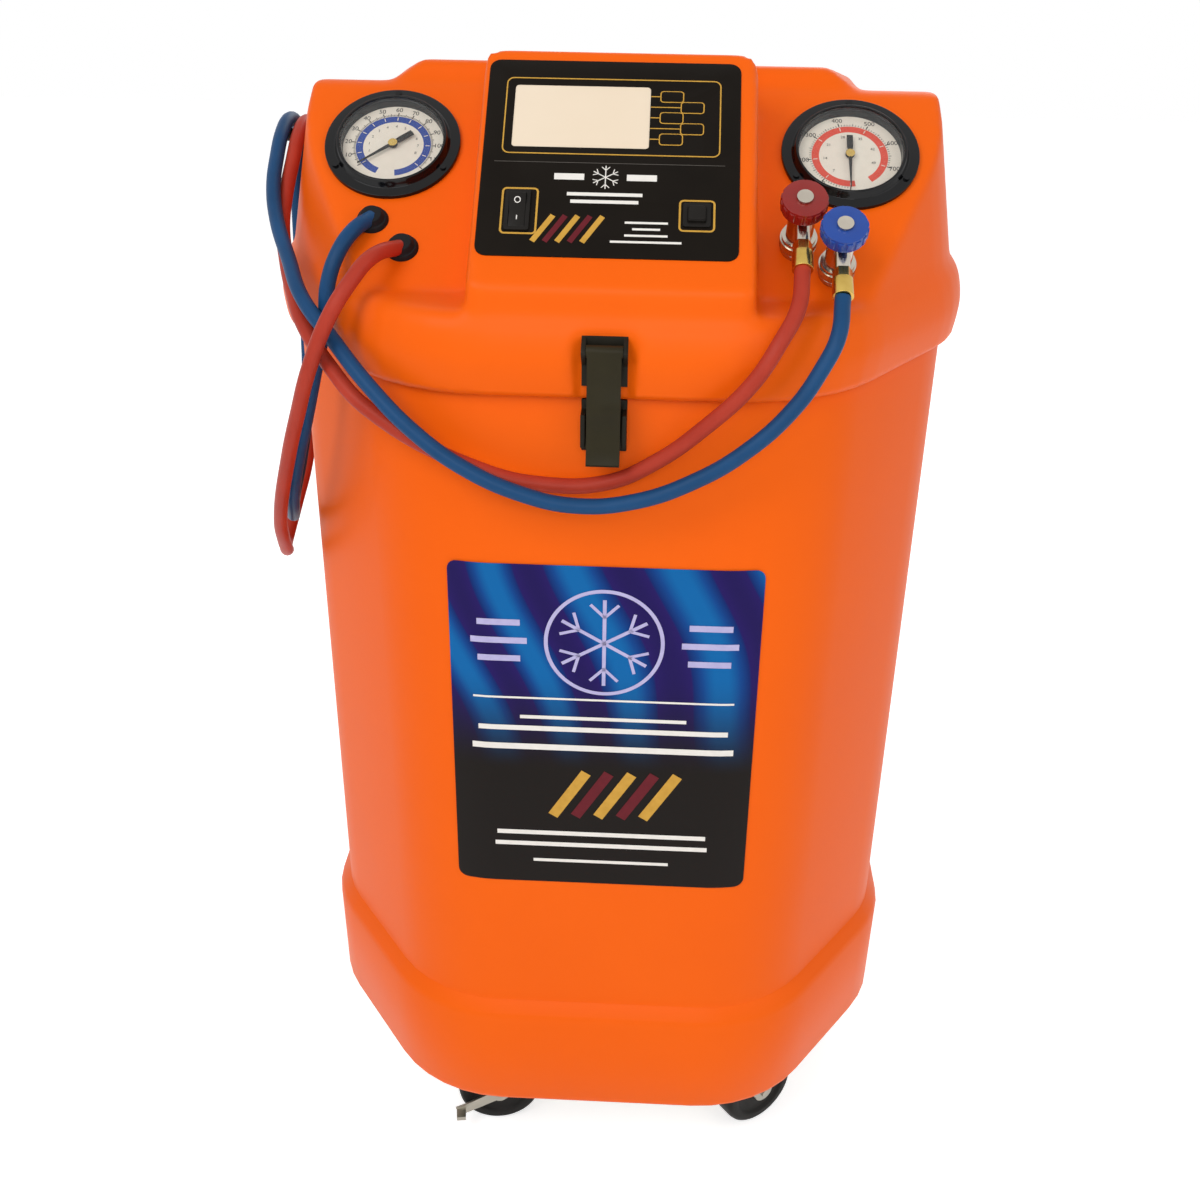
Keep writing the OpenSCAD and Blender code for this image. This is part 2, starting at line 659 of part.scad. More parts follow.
// Hose routes: chosen points along each hose, from its grommet to its coupler's ferrule
blue_route = concat([wing_point(blue_grommet[0], blue_grommet[1], 3.5)], [
    [-217, -189, 986], [-228, -204, 970], [-236, -211, 947], [-240, -211, 921], [-254, -204, 871],
    [-269, -191, 821], [-285, -171, 774], [-299, -145, 730], [-310, -111, 696], [-320, -75, 676],
    [-329, -42, 670], [-333, -12, 677], [-332, 13, 696], [-329, 35, 730], [-326, 50, 779],
    [-324, 55, 938], [-321, 54, 986], [-316, 48, 1014], [-312, 29, 1035], [-311, 0, 1043],
    [-311, -29, 1036], [-310, -58, 1020], [-307, -90, 1000], [-298, -122, 979], [-279, -166, 956],
    [-258, -211, 934], [-228, -243, 910], [-194, -274, 882], [-156, -295, 852], [-116, -304, 826],
    [-67, -307, 805], [-23, -306, 796], [24, -305, 801], [69, -305, 819], [111, -307, 848],
    [146, -303, 883], [166, -297, 914], [177, -289, 937]],
    [wing_point(blue_post[0], blue_post[1] - stub_reach, stub_n)]);
red_route = concat([wing_point(red_grommet[0], red_grommet[1], 2)], [
    [-195, -225, 974], [-210, -247, 958], [-227, -259, 931], [-245, -257, 891], [-264, -236, 842],
    [-282, -210, 794], [-313, -147, 703], [-323, -107, 662], [-333, -63, 631], [-344, -28, 619],
    [-347, 2, 623], [-344, 29, 643], [-336, 54, 680], [-330, 70, 733], [-327, 77, 818], [-323, 75, 903],
    [-316, 69, 950], [-308, 61, 985], [-301, 49, 1012], [-297, 28, 1033], [-296, 0, 1041],
    [-296, -29, 1034], [-297, -57, 1014], [-298, -84, 992], [-296, -111, 970], [-287, -143, 949],
    [-275, -177, 932], [-260, -211, 914], [-233, -245, 890], [-197, -272, 862], [-102, -290, 818],
    [-52, -287, 806], [0, -284, 808], [36, -289, 827], [80, -299, 866], [113, -301, 902],
    [133, -294, 934], [146, -275, 955]],
    [wing_point(red_post[0], red_post[1] - stub_reach, stub_n)]);

// One swept tube: a ring of the hose's section at each point of its route, carried along without twist
module hose(route) {
    sides = 10;
    n = len(route) - 1;
    heading = [for (k = [0:n]) let (d = route[min(k + 1, n)] - route[max(k - 1, 0)]) d / norm(d)];
    side = [for (k = 0, u = cross(heading[0], [0, 0, 1]); k <= n;
        k = k + 1, u = k <= n ? u - (u * heading[k]) * heading[k] : u) u / norm(u)];
    points = [for (k = [0:n]) let (u = side[k], w = cross(heading[k], u)) for (a = [0:sides - 1])
        route[k] + hose_d / 2 * (cos(a * 360 / sides) * u + sin(a * 360 / sides) * w)];
    skin = [for (k = [0:n - 1]) for (a = [0:sides - 1])
        [k * sides + a, (k + 1) * sides + a, (k + 1) * sides + (a + 1) % sides, k * sides + (a + 1) % sides]];
    near = [for (a = [0:sides - 1]) a];
    far = [for (a = [0:sides - 1]) (n + 1) * sides - 1 - a];
    polyhedron(points, concat([near, far], skin), convexity = 10);
}

// Casters: plate with race and kingpin, fork with axle, wheel, brake pedal
king_r = caster_pin_d / 2;
axle_r = caster_pin_d / 2;
axle_z = wheel_d / 2;
race_z = caster_h - 12;
crown_t = 4;
leg_t = 3;
leg_gap = 2;
front_left = [-front_caster_x, -front_caster_y];
front_right = [front_caster_x, -front_caster_y];
rear_left = [-rear_caster_x, rear_caster_y];
rear_right = [rear_caster_x, rear_caster_y];
turn_fl = 8;
turn_fr = 38;
turn_rear = 70;
module caster_at(p, turn) {
    translate([p[0], p[1], 0]) rotate([0, 0, turn]) children();
}
module caster_plates() {
    head_z = race_z - slide_gap - crown_t;
    color("silver") for (p = [front_left, front_right, rear_left, rear_right]) translate([p[0], p[1], 0]) {
        translate([-47, -35, caster_h - 4]) cube([94, 70, 4]);
        translate([0, 0, race_z]) cylinder(r = 26, h = 9);
        translate([0, 0, head_z - 5]) cylinder(r = king_r, h = caster_h - head_z + 3);
        translate([0, 0, head_z - slide_gap - 5]) cylinder(r = king_r + 4, h = 5);
    }
}
module caster_fork() {
    top = race_z - slide_gap;
    half = wheel_w / 2 + leg_gap;
    color("silver") {
        difference() {
            union() {
                translate([0, 0, top - crown_t]) cylinder(r = 24, h = crown_t);
                translate([-14, -half - leg_t, top - crown_t]) cube([38, 2 * (half + leg_t), crown_t]);
                for (s = [-1, 1]) translate([0, s * (half + leg_t / 2) + leg_t / 2, 0]) rotate([90, 0, 0])
                    linear_extrude(leg_t) union() {
                        polygon([[-14, top], [24, top], [trail + 12, axle_z + 4], [trail + 6, axle_z - 10],
                            [trail - 6, axle_z - 10], [trail - 14, axle_z]]);
                        translate([trail, axle_z]) circle(r = 12);
                    }
            }
            translate([0, 0, top - crown_t - 1]) cylinder(r = king_r + run_gap, h = crown_t + 2);
        }
        translate([trail, half + leg_t + 4, axle_z]) rotate([90, 0, 0])
            cylinder(r = axle_r, h = 2 * (half + leg_t + 4));
    }
}
module caster_wheel() {
    half = wheel_w / 2;
    rim = wheel_d / 2;
    side = [[axle_r + run_gap, half], [14, half], [16, half - 3], [rim - 14, half - 3], [rim - 12, half],
        [rim - 4, half], [rim - 1, half - 3], [rim, half - 7]];
    other = [for (k = [len(side) - 1:-1:0]) [side[k][0], -side[k][1]]];
    color("dimgray") translate([trail, 0, axle_z]) rotate([90, 0, 0]) rotate_extrude($fn = 64)
        polygon(concat(side, other));
}
// The brake lever turns on one end of the axle, outside the fork's leg, and ends in a foot tab
module brake_pedal(side) {
    near = wheel_w / 2 + leg_gap + leg_t + slide_gap;
    reach = wheel_d / 2 - 2;
    arm_t = 3;
    color("silver") translate([trail, 0, axle_z]) difference() {
        translate([0, side * (near + arm_t / 2), 0]) {
            rotate([90, 0, 0]) linear_extrude(arm_t, center = true) union() {
                circle(r = 9);
                polygon([[1, 9], [-4, -8], [-reach + 4, -25], [-reach - 6, -17], [-reach + 4, -13]]);
            }
            translate([-reach, side * 6, -20]) cube([10, 12 + arm_t, 5], center = true);
        }
        rotate([90, 0, 0]) cylinder(r = axle_r + run_gap, h = 200, center = true);
    }
}

// Inside: scale, recovery cylinder, compressor, vacuum pump, condenser, drier and valves on the floor
tank_place = [175 - body_w / 2, rear_y - 250];
compressor_place = [body_w / 2 - 155, rear_y - 350];
pump_place = [body_w / 2 - 150, rear_y - 170];
drier_place = [body_w / 2 - 64, rear_y - 80];
manifold_place = [-30, front_y + 90];
scale_h = 26;
module scale_platform() {
    color("lightgray") translate([tank_place[0], tank_place[1], floor_z]) {
        translate([-120, -120, 0]) cube([240, 240, 6]);
        for (x = [-90, 90]) for (y = [-90, 90]) translate([x, y, 6]) cylinder(r = 14, h = scale_h - 12);
        translate([-115, -115, scale_h - 6]) cube([230, 230, 6]);
    }
}
module recovery_cylinder() {
    r = tank_d / 2;
    z0 = floor_z + scale_h;
    color("lightsteelblue") translate([tank_place[0], tank_place[1], z0]) {
        rotate_extrude($fn = 64) polygon(concat([[0, 18]], corner([r - 2, 18], 0, 90, 50, 6),
            corner([r - 2, tank_h], 90, 90, 60, 6), [[22, tank_h], [22, tank_h + 14], [0, tank_h + 14]]));
        difference() {
            cylinder(r = r - 34, h = 34);
            translate([0, 0, -1]) cylinder(r = r - 38, h = 36);
        }
        difference() {
            translate([0, 0, tank_h - 8]) cylinder(r = r - 44, h = 78);
            translate([0, 0, tank_h - 20]) cylinder(r = r - 48, h = 100);
            for (a = [0, 90]) rotate([0, 0, a]) translate([-r, -34, tank_h + 22]) cube([2 * r, 68, 26]);
        }
    }
}
module cylinder_valves() {
    z0 = floor_z + scale_h + tank_h + 14;
    color("goldenrod") for (s = [-1, 1]) translate([tank_place[0] + s * 11, tank_place[1], z0]) {
        cylinder(r = 7, h = 20);
        translate([0, 0, 20]) cylinder(r = 10, h = 14);
        translate([0, 0, 12]) rotate([90, 0, 0]) cylinder(r = 5, h = 26);
    }
}
module compressor() {
    color("black") translate([compressor_place[0], compressor_place[1], floor_z]) {
        for (x = [-70, 70]) for (y = [-55, 55]) translate([x, y, 0]) cylinder(r = 12, h = 12);
        translate([-85, -70, 12]) cube([170, 140, 4]);
        translate([0, 0, 16]) rotate_extrude($fn = 64) polygon(concat([[0, 0]], corner([82, 0], 0, 90, 20, 5),
            [[82, 100], [86, 104], [86, 108], [82, 112]], corner([82, 200], 90, 90, 45, 6), [[0, 200]]));
        translate([66, -32, 110]) cube([28, 64, 56]);
        for (s = [-1, 1]) translate([s * 30, 40, 190]) cylinder(r = 5, h = 40);
    }
}
module vacuum_pump() {
    color("royalblue") translate([pump_place[0], pump_place[1], floor_z]) {
        translate([-60, -80, 0]) cube([120, 160, 8]);
        translate([-38, -60, 8]) cube([76, 70, 26]);
        translate([0, 10, 78]) rotate([90, 0, 0]) cylinder(r = 52, h = 84);
        translate([-42, 10, 8]) cube([84, 66, 122]);
        translate([-10, 24, 130]) cube([20, 20, 26]);
        translate([-60, 0, 156]) rotate([0, 90, 0]) translate([0, 34, 0]) cylinder(r = 9, h = 120);
    }
}
coil_y = rear_y - 84;
fan_z = grille_z;
fan_y = rear_y - 34;
module condenser_coil() {
    color("lightgray") {
        for (s = [-1, 1]) translate([s * 122 - 1.5, coil_y, floor_z]) cube([3, 40, fan_z + 110 - floor_z]);
        for (s = [-1, 1]) translate([s * 134 - 12, coil_y, floor_z]) cube([24, 40, 3]);
        translate([-120.5, coil_y, fan_z - 105]) cube([241, 26, 210]);
        for (s = [-1, 1]) translate([-120.5, coil_y + 26, fan_z + s * 30 - 8]) cube([241, 3, 16]);
    }
}
module fan_motor() {
    color("black") translate([0, coil_y + 29, fan_z]) rotate([-90, 0, 0]) {
        cylinder(r = 36, h = 9);
        translate([0, 0, 9]) cylinder(r = 3, h = 20);
    }
}
module condenser_fan() {
    color("dimgray") translate([0, fan_y, fan_z]) rotate([-90, 0, 0]) difference() {
        union() {
            translate([0, 0, -6]) cylinder(r = 24, h = 12);
            for (a = [0:72:288]) rotate([0, 0, a]) translate([20, 0, 0]) rotate([24, 0, 0])
                translate([0, -14, -1]) cube([fan_d / 2 - 20, 28, 2]);
        }
        translate([0, 0, -20]) cylinder(r = 3 + run_gap, h = 40);
    }
}
module filter_drier() {
    color("darkgreen") translate([drier_place[0], drier_place[1], floor_z]) {
        translate([-20, -20, 0]) cube([40, 40, 4]);
        cylinder(r = 12, h = 60);
        translate([0, 0, 60]) rotate_extrude() polygon(concat([[0, 0]], corner([34, 0], 0, 90, 18, 5),
            corner([34, 150], 90, 90, 18, 5), [[0, 150]]));
        translate([0, 0, 205]) cylinder(r = 6, h = 35);
    }
}
module valve_manifold() {
    color("silver") translate([manifold_place[0], manifold_place[1], floor_z]) {
        for (s = [-1, 1]) translate([s * 66 - 12, -25, 0]) cube([24, 50, 150]);
        translate([-90, -25, 150]) cube([180, 50, 45]);
        for (k = [0:3]) translate([-66 + 44 * k, 0, 195]) {
            cylinder(r = 8, h = 20);
            translate([-15, -18, 20]) cube([30, 36, 34]);
        }
    }
}
module rear_grille() {
    bars = 11;
    pitch = (grille_h - 40) / bars;
    color("black") on_rear_wall(0, grille_z) difference() {
        translate([-grille_w / 2, 0, -grille_h / 2]) cube([grille_w, 3, grille_h]);
        for (k = [0:bars - 1]) translate([-grille_w / 2 + 20, -1, 20 - grille_h / 2 + k * pitch + 3])
            cube([grille_w - 40, 5, pitch - 6]);
    }
}
module power_inlet() {
    color("black") on_rear_wall(inlet_x, inlet_z) difference() {
        union() {
            translate([-24, 0, -15]) cube([48, 3, 30]);
            translate([-13.5, -26, -9.5]) cube([27, 26, 19]);
        }
        translate([-11, -18, -7]) cube([22, 30, 14]);
    }
}

cabinet_body();
base_plate();
hinge_leaf_body();
latch_keeper();
rear_grille();
power_inlet();
caster_plates();
scale_platform();
recovery_cylinder();
cylinder_valves();
compressor();
vacuum_pump();
condenser_coil();
fan_motor();
filter_drier();
valve_manifold();
lid_shell();
hinge_leaf_lid();
latch_bracket();
console_plate();
display_screen();
control_board();
switch_bezels();
gauge_case(-1);  // low_gauge_case
gauge_dial(-1);  // low_gauge_dial
gauge_case(1);  // high_gauge_case
gauge_dial(1);  // high_gauge_dial
gauge_lenses();
gauge_screws();
hose_grommets();
hose_hook();
coupler_posts();
coupler(blue_post);  // blue_coupler
coupler(red_post);  // red_coupler
hose_ferrules();
color("royalblue") hose(blue_route);  // blue_hose
color("crimson") hose(red_route);  // red_hose
latch_strap();
gauge_needle(-1, 232);  // low_gauge_needle
gauge_needle(1, 180);  // high_gauge_needle
power_rocker();
push_button();
soft_key(0);  // soft_key_1
soft_key(1);  // soft_key_2
soft_key(2);  // soft_key_3
soft_key(3);  // soft_key_4
soft_key(4);  // soft_key_5
handwheel(blue_post);  // blue_handwheel
handwheel(red_post);  // red_handwheel
condenser_fan();
caster_at(front_left, turn_fl) caster_fork();  // caster_fork_fl
caster_at(front_right, turn_fr) caster_fork();  // caster_fork_fr
caster_at(rear_left, turn_rear) caster_fork();  // caster_fork_rl
caster_at(rear_right, turn_rear) caster_fork();  // caster_fork_rr
caster_at(front_left, turn_fl) caster_wheel();  // caster_wheel_fl
caster_at(front_right, turn_fr) caster_wheel();  // caster_wheel_fr
caster_at(rear_left, turn_rear) caster_wheel();  // caster_wheel_rl
caster_at(rear_right, turn_rear) caster_wheel();  // caster_wheel_rr
caster_at(front_left, turn_fl) brake_pedal(-1);  // brake_pedal_fl
caster_at(front_right, turn_fr) brake_pedal(1);  // brake_pedal_fr
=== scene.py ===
"""Refrigerant recovery machine: a rotomoulded orange cabinet on casters with a sloping control console.

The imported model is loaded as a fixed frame, in metres, front towards -Y. Each section below makes one
piece, or one group of like pieces, and fixes it to the body that carries it.
"""
from math import cos, degrees, atan2, hypot, radians, sin, sqrt

import bpy
from mathutils import Matrix, Vector


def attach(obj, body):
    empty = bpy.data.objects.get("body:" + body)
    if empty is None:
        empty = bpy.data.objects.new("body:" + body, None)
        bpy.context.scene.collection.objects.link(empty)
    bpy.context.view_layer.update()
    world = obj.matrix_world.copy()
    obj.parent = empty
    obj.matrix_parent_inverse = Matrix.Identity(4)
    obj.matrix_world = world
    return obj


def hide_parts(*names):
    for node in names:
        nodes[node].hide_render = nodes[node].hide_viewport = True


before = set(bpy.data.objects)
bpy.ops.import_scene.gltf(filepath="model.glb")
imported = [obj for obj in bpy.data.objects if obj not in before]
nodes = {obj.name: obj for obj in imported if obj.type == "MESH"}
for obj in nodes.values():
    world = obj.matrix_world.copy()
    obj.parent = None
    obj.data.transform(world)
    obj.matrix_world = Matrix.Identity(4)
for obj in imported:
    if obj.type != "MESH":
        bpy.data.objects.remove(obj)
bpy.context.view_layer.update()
bpy.ops.object.select_all(action="DESELECT")


# Camera: the photograph was taken from standing height, a little right of the middle, looking down at the
# console, with a short telephoto view.
bpy.ops.object.camera_add(location=(0.0418, -1.3757, 1.2653),
                          rotation=(radians(62.623), radians(-0.776), radians(2.796)))
camera = bpy.context.object
camera.name = "camera"
camera.data.sensor_width = 36
camera.data.lens = 43.21
bpy.context.scene.camera = camera


# Service hoses: 13 mm rubber charging hoses, blue for the low side and red for the high side. Each comes
# out of its grommet, drops down the left side, is hung over the hook and sweeps across the front to its
# coupler, which is parked on a post.

# Hex colours are as seen on screen; shaders take them linear.
def linear(code):
    parts = [int(code[k:k + 2], 16) / 255 for k in (1, 3, 5)]
    return [p / 12.92 if p <= 0.04045 else ((p + 0.055) / 1.055) ** 2.4 for p in parts] + [1.0]


# One node of a material: settings are its attributes, inputs are values or the sockets linked to them.
def add(material, kind, settings, inputs):
    node = material.node_tree.nodes.new(kind)
    for name, value in settings.items():
        setattr(node, name, value)
    for name, value in inputs.items():
        if isinstance(value, bpy.types.NodeSocket):
            material.node_tree.links.new(value, node.inputs[name])
        else:
            node.inputs[name].default_value = value
    return node


# A finish with slow patches of tone and gloss and a fine raised grain. The patch and the grain are given in
# millimetres: a noise of scale S has features about 1/S of a metre wide. gloss is the range of roughness,
# depth the strength of the grain, and mirror how much of the surround a non-metal gives back.
def finish(name, dark, light, gloss, patch, grain, depth, metal=0.0, mirror=0.12):
    material = bpy.data.materials.new(name)
    material.use_nodes = True
    where = add(material, "ShaderNodeTexCoord", {}, {})
    slow = add(material, "ShaderNodeTexNoise", {},
               {"Vector": where.outputs["Object"], "Scale": 1000 / patch, "Detail": 4.0})
    tone = add(material, "ShaderNodeMix", {"data_type": "RGBA"},
               {0: slow.outputs["Fac"], 6: linear(dark), 7: linear(light)})
    fine = add(material, "ShaderNodeTexNoise", {}, {"Vector": where.outputs["Object"], "Scale": 1000 / grain})
    bump = add(material, "ShaderNodeBump", {},
               {"Strength": depth, "Distance": 0.0006, "Height": fine.outputs["Fac"]})
    sheen = add(material, "ShaderNodeMapRange", {},
                {"Value": slow.outputs["Fac"], "To Min": gloss[0], "To Max": gloss[1]})
    shader = material.node_tree.nodes["Principled BSDF"]
    shader.inputs["Metallic"].default_value = metal
    if not metal:
        shader.inputs["Specular IOR Level"].default_value = mirror
    material.node_tree.links.new(tone.outputs[2], shader.inputs["Base Color"])
    material.node_tree.links.new(sheen.outputs["Result"], shader.inputs["Roughness"])
    material.node_tree.links.new(bump.outputs["Normal"], shader.inputs["Normal"])
    return material


# Extruded rubber: slow tone changes along the hose and a fine matt grain under a soft sheen. The real grain
# is too fine to show, so it is drawn 1.1 mm wide.
blue_rubber = finish("extruded_blue_rubber", "#173A5E", "#20507F", (0.34, 0.50), 45, 1.1, 0.12)
red_rubber = finish("extruded_red_rubber", "#9C2F22", "#BE4431", (0.34, 0.50), 45, 1.1, 0.12)
# Outside diameter, and the points that each hose passes from its grommet to its ferrule.
hose_d = 0.013
blue_route = [
    (-0.205, -0.16740, 0.99232), (-0.217, -0.189, 0.986), (-0.228, -0.204, 0.970), (-0.236, -0.211, 0.947),
    (-0.240, -0.211, 0.921), (-0.254, -0.204, 0.871), (-0.269, -0.191, 0.821), (-0.285, -0.171, 0.774),
    (-0.299, -0.145, 0.730), (-0.310, -0.111, 0.696), (-0.320, -0.075, 0.676), (-0.329, -0.042, 0.670),
    (-0.333, -0.012, 0.677), (-0.332, 0.013, 0.696), (-0.329, 0.035, 0.730), (-0.326, 0.050, 0.779),
    (-0.324, 0.055, 0.938), (-0.321, 0.054, 0.986), (-0.316, 0.048, 1.014), (-0.312, 0.029, 1.035),
    (-0.311, 0.000, 1.043), (-0.311, -0.029, 1.036), (-0.310, -0.058, 1.020), (-0.307, -0.090, 1.000),
    (-0.298, -0.122, 0.979), (-0.279, -0.166, 0.956), (-0.258, -0.211, 0.934), (-0.228, -0.243, 0.910),
    (-0.194, -0.274, 0.882), (-0.156, -0.295, 0.852), (-0.116, -0.304, 0.826), (-0.067, -0.307, 0.805),
    (-0.023, -0.306, 0.796), (0.024, -0.305, 0.801), (0.069, -0.305, 0.819), (0.111, -0.307, 0.848),
    (0.146, -0.303, 0.883), (0.166, -0.297, 0.914), (0.177, -0.289, 0.937), (0.181, -0.26447, 0.96174)]
red_route = [
    (-0.177, -0.18838, 0.97371), (-0.195, -0.225, 0.974), (-0.210, -0.247, 0.958), (-0.227, -0.259, 0.931),
    (-0.245, -0.257, 0.891), (-0.264, -0.236, 0.842), (-0.282, -0.210, 0.794), (-0.313, -0.147, 0.703),
    (-0.323, -0.107, 0.662), (-0.333, -0.063, 0.631), (-0.344, -0.028, 0.619), (-0.347, 0.002, 0.623),
    (-0.344, 0.029, 0.643), (-0.336, 0.054, 0.680), (-0.330, 0.070, 0.733), (-0.327, 0.077, 0.818),
    (-0.323, 0.075, 0.903), (-0.316, 0.069, 0.950), (-0.308, 0.061, 0.985), (-0.301, 0.049, 1.012),
    (-0.297, 0.028, 1.033), (-0.296, 0.000, 1.041), (-0.296, -0.029, 1.034), (-0.297, -0.057, 1.014),
    (-0.298, -0.084, 0.992), (-0.296, -0.111, 0.970), (-0.287, -0.143, 0.949), (-0.275, -0.177, 0.932),
    (-0.260, -0.211, 0.914), (-0.233, -0.245, 0.890), (-0.197, -0.272, 0.862), (-0.102, -0.290, 0.818),
    (-0.052, -0.287, 0.806), (0.000, -0.284, 0.808), (0.036, -0.289, 0.827), (0.080, -0.299, 0.866),
    (0.113, -0.301, 0.902), (0.133, -0.294, 0.934), (0.146, -0.275, 0.955), (0.150, -0.2449, 0.9773)]
for name, route, material in (("blue_hose", blue_route, blue_rubber), ("red_hose", red_route, red_rubber)):
    line = bpy.data.curves.new(name + "_line", "CURVE")
    line.dimensions = "3D"
    line.bevel_depth = hose_d / 2
    line.bevel_resolution = 5
    line.resolution_u = 8
    line.use_fill_caps = True
    spline = line.splines.new("BEZIER")
    spline.bezier_points.add(len(route) - 1)
    for knot, point in zip(spline.bezier_points, route):
        knot.co = point
        knot.handle_left_type = knot.handle_right_type = "AUTO"
    hose = bpy.data.objects.new(name + "_tube", line)
    bpy.context.collection.objects.link(hose)
    line.materials.append(material)
    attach(hose, "lid")
    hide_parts(name)


# Couplers: nickel-plated brass quick couplers pushed on to parking posts, each with a knurled sleeve, a
# coloured handwheel on its spindle and a brass ferrule crimped on the hose end.

# The pieces given, and no others, are taken up for the next operators; the first is the active one.
def take(*pieces):
    bpy.ops.object.select_all(action="DESELECT")
    for piece in pieces:
        piece.select_set(True)
    bpy.context.view_layer.objects.active = pieces[0]


# A copy of a CAD node with its edges broken, as a moulded, cast or turned piece has them.
def soften(node, width, material, body):
    piece = bpy.data.objects.new(node + "_finished", nodes[node].data.copy())
    bpy.context.collection.objects.link(piece)
    take(piece)
    bpy.ops.mesh.customdata_custom_splitnormals_clear()
    bpy.ops.object.mode_set(mode="EDIT")
    bpy.ops.mesh.select_all(action="SELECT")
    bpy.ops.mesh.remove_doubles(threshold=0.00001)
    bpy.ops.mesh.dissolve_limited(angle_limit=radians(0.5))
    bpy.ops.object.mode_set(mode="OBJECT")
    bpy.ops.object.modifier_add(type="BEVEL")
    edge = piece.modifiers["Bevel"]
    edge.limit_method = "ANGLE"
    edge.angle_limit = radians(32)
    edge.width = width
    edge.segments = 3
    edge.use_clamp_overlap = True
    bpy.ops.object.modifier_apply(modifier="Bevel")
    bpy.ops.object.shade_smooth_by_angle(angle=radians(38))
    piece.data.materials.clear()
    piece.data.materials.append(material)
    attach(piece, body)
    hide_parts(node)
    return piece


# A piece modelled flat is moved to its place and left with its mesh there.
def settle(piece, place):
    take(piece)
    piece.matrix_world = place
    bpy.ops.object.transform_apply(location=True, rotation=True, scale=True)


# The sloping wings carry the gauges, grommets and posts: x across, y up the slope, z out of the surface.
wing = Matrix.Translation((0, -0.220, 0.946)) @ Matrix.Rotation(radians(38.5), 4, "X")
# Nickel plate: bright and slightly warm, with duller patches some 20 mm wide.
nickel = finish("nickel_plate", "#A39A8C", "#D2CABD", (0.12, 0.24), 20, 3, 0.02, 1.0)
# Turned brass: yellow and bright, with faint tool lines that read as a fine grain.
brass = finish("turned_brass", "#B08D3E", "#DBBE6C", (0.16, 0.30), 16, 1.2, 0.06, 1.0)
# Moulded handwheel plastic: deep glossy colour.
red_knob = finish("moulded_red_plastic", "#7A120E", "#96201A", (0.14, 0.24), 22, 2, 0.03, mirror=0.4)
blue_knob = finish("moulded_blue_plastic", "#10398A", "#1B4CA4", (0.16, 0.26), 22, 2, 0.03, mirror=0.4)
soften("coupler_posts", 0.0006, nickel, "lid")
soften("hose_ferrules", 0.0006, brass, "lid")
for colour, x, v, knob in (("blue", 0.181, 0.027, blue_knob), ("red", 0.150, 0.052, red_knob)):
    soften(colour + "_coupler", 0.0008, nickel, "lid")
    soften(colour + "_handwheel", 0.0012, knob, colour + "_wheel")
    # Knurled grip ring round the sleeve: every second flat of a turned ring is pressed in.
    bpy.ops.object.select_all(action="DESELECT")
    bpy.ops.mesh.primitive_cylinder_add(vertices=40, radius=0.0153, depth=0.008)
    collar = bpy.context.object
    collar.name = colour + "_coupler_collar"
    bpy.ops.object.mode_set(mode="EDIT")
    bpy.ops.mesh.select_mode(type="FACE")
    bpy.ops.mesh.select_all(action="DESELECT")
    bpy.ops.object.mode_set(mode="OBJECT")
    for face in collar.data.polygons:
        face.select = abs(face.normal.z) < 0.5
    bpy.ops.object.mode_set(mode="EDIT")
    bpy.ops.mesh.inset(use_individual=True, thickness=0.0004, depth=-0.0004)
    bpy.ops.object.mode_set(mode="OBJECT")
    collar.data.materials.append(nickel)
    settle(collar, wing @ Matrix.Translation((x, v, 0.0105)))
    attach(collar, "lid")
for name, route, length, ends in (("blue_hose", blue_route, 1.74, ["hose_ferrules_finished"]),
                                  ("red_hose", red_route, 1.87, [])):
    colour = name.split("_")[0]


# Cabinet body: one rotomoulded polyethylene shell with a flared skirt, a floor and a neck for the lid.
# The moulding has soft edges all round, so a copy of the shell gets its edges broken.
# Rotomoulded polyethylene: saturated orange, a faint cloudiness some 200 mm wide and an orange-peel skin of
# about 4 mm with a soft gloss.
orange = finish("rotomoulded_orange_polyethylene", "#EF5E06", "#F7660A", (0.36, 0.46), 200, 4, 0.10)
soften("cabinet_body", 0.003, orange, "cabinet")


# Front label: a printed vinyl sheet 274 by 340 mm stuck on the body, following its curve. The print is a
# plain generic design: blue and violet waves fading to black, a ring with a snow crystal, bars and stripes.

# Front wall of the body: its plane, half the width of its flat middle, the radius of its corners, the height
# of its foot above the floor, and its draft, by which it stands in less from the foot upwards.
front_y = -0.280
front_flat = 0.0989
front_corner = 0.140
foot_z = 0.233
foot_inset = 0.010
draft = 0.004 / 0.550


# A place on the front of the body: flat in the middle and rounded towards the corners.
def on_front(x, z, lift):
    inset = foot_inset - draft * (z - foot_z)
    corner = front_corner - inset
    past = max(0.0, abs(x) - front_flat)
    return Vector((x, front_y + inset + corner - sqrt(corner ** 2 - past ** 2) - lift, z))


# Size of the label and the height of its middle.
label_w = 0.274
label_h = 0.340
label_z = 0.5565
bpy.ops.object.select_all(action="DESELECT")
bpy.ops.mesh.primitive_plane_add(size=1)
label = bpy.context.object
label.name = "front_label"
label.scale = (label_w, label_h, 1)
bpy.ops.object.transform_apply(location=False, rotation=False, scale=True)
bpy.ops.object.mode_set(mode="EDIT")
bpy.ops.mesh.select_mode(type="VERT")
bpy.ops.mesh.select_all(action="SELECT")
bpy.ops.mesh.bevel(offset=0.009, segments=5, affect="VERTICES")
for k in range(-16, 17):
    bpy.ops.mesh.select_all(action="SELECT")
    bpy.ops.mesh.bisect(plane_co=(k * 0.0083, 0, 0), plane_no=(1, 0, 0))
bpy.ops.object.mode_set(mode="OBJECT")
for vertex in label.data.vertices:
    vertex.co = on_front(vertex.co.x, label_z + vertex.co.y, 0.0008)
bpy.ops.object.shade_smooth_by_angle(angle=radians(30))
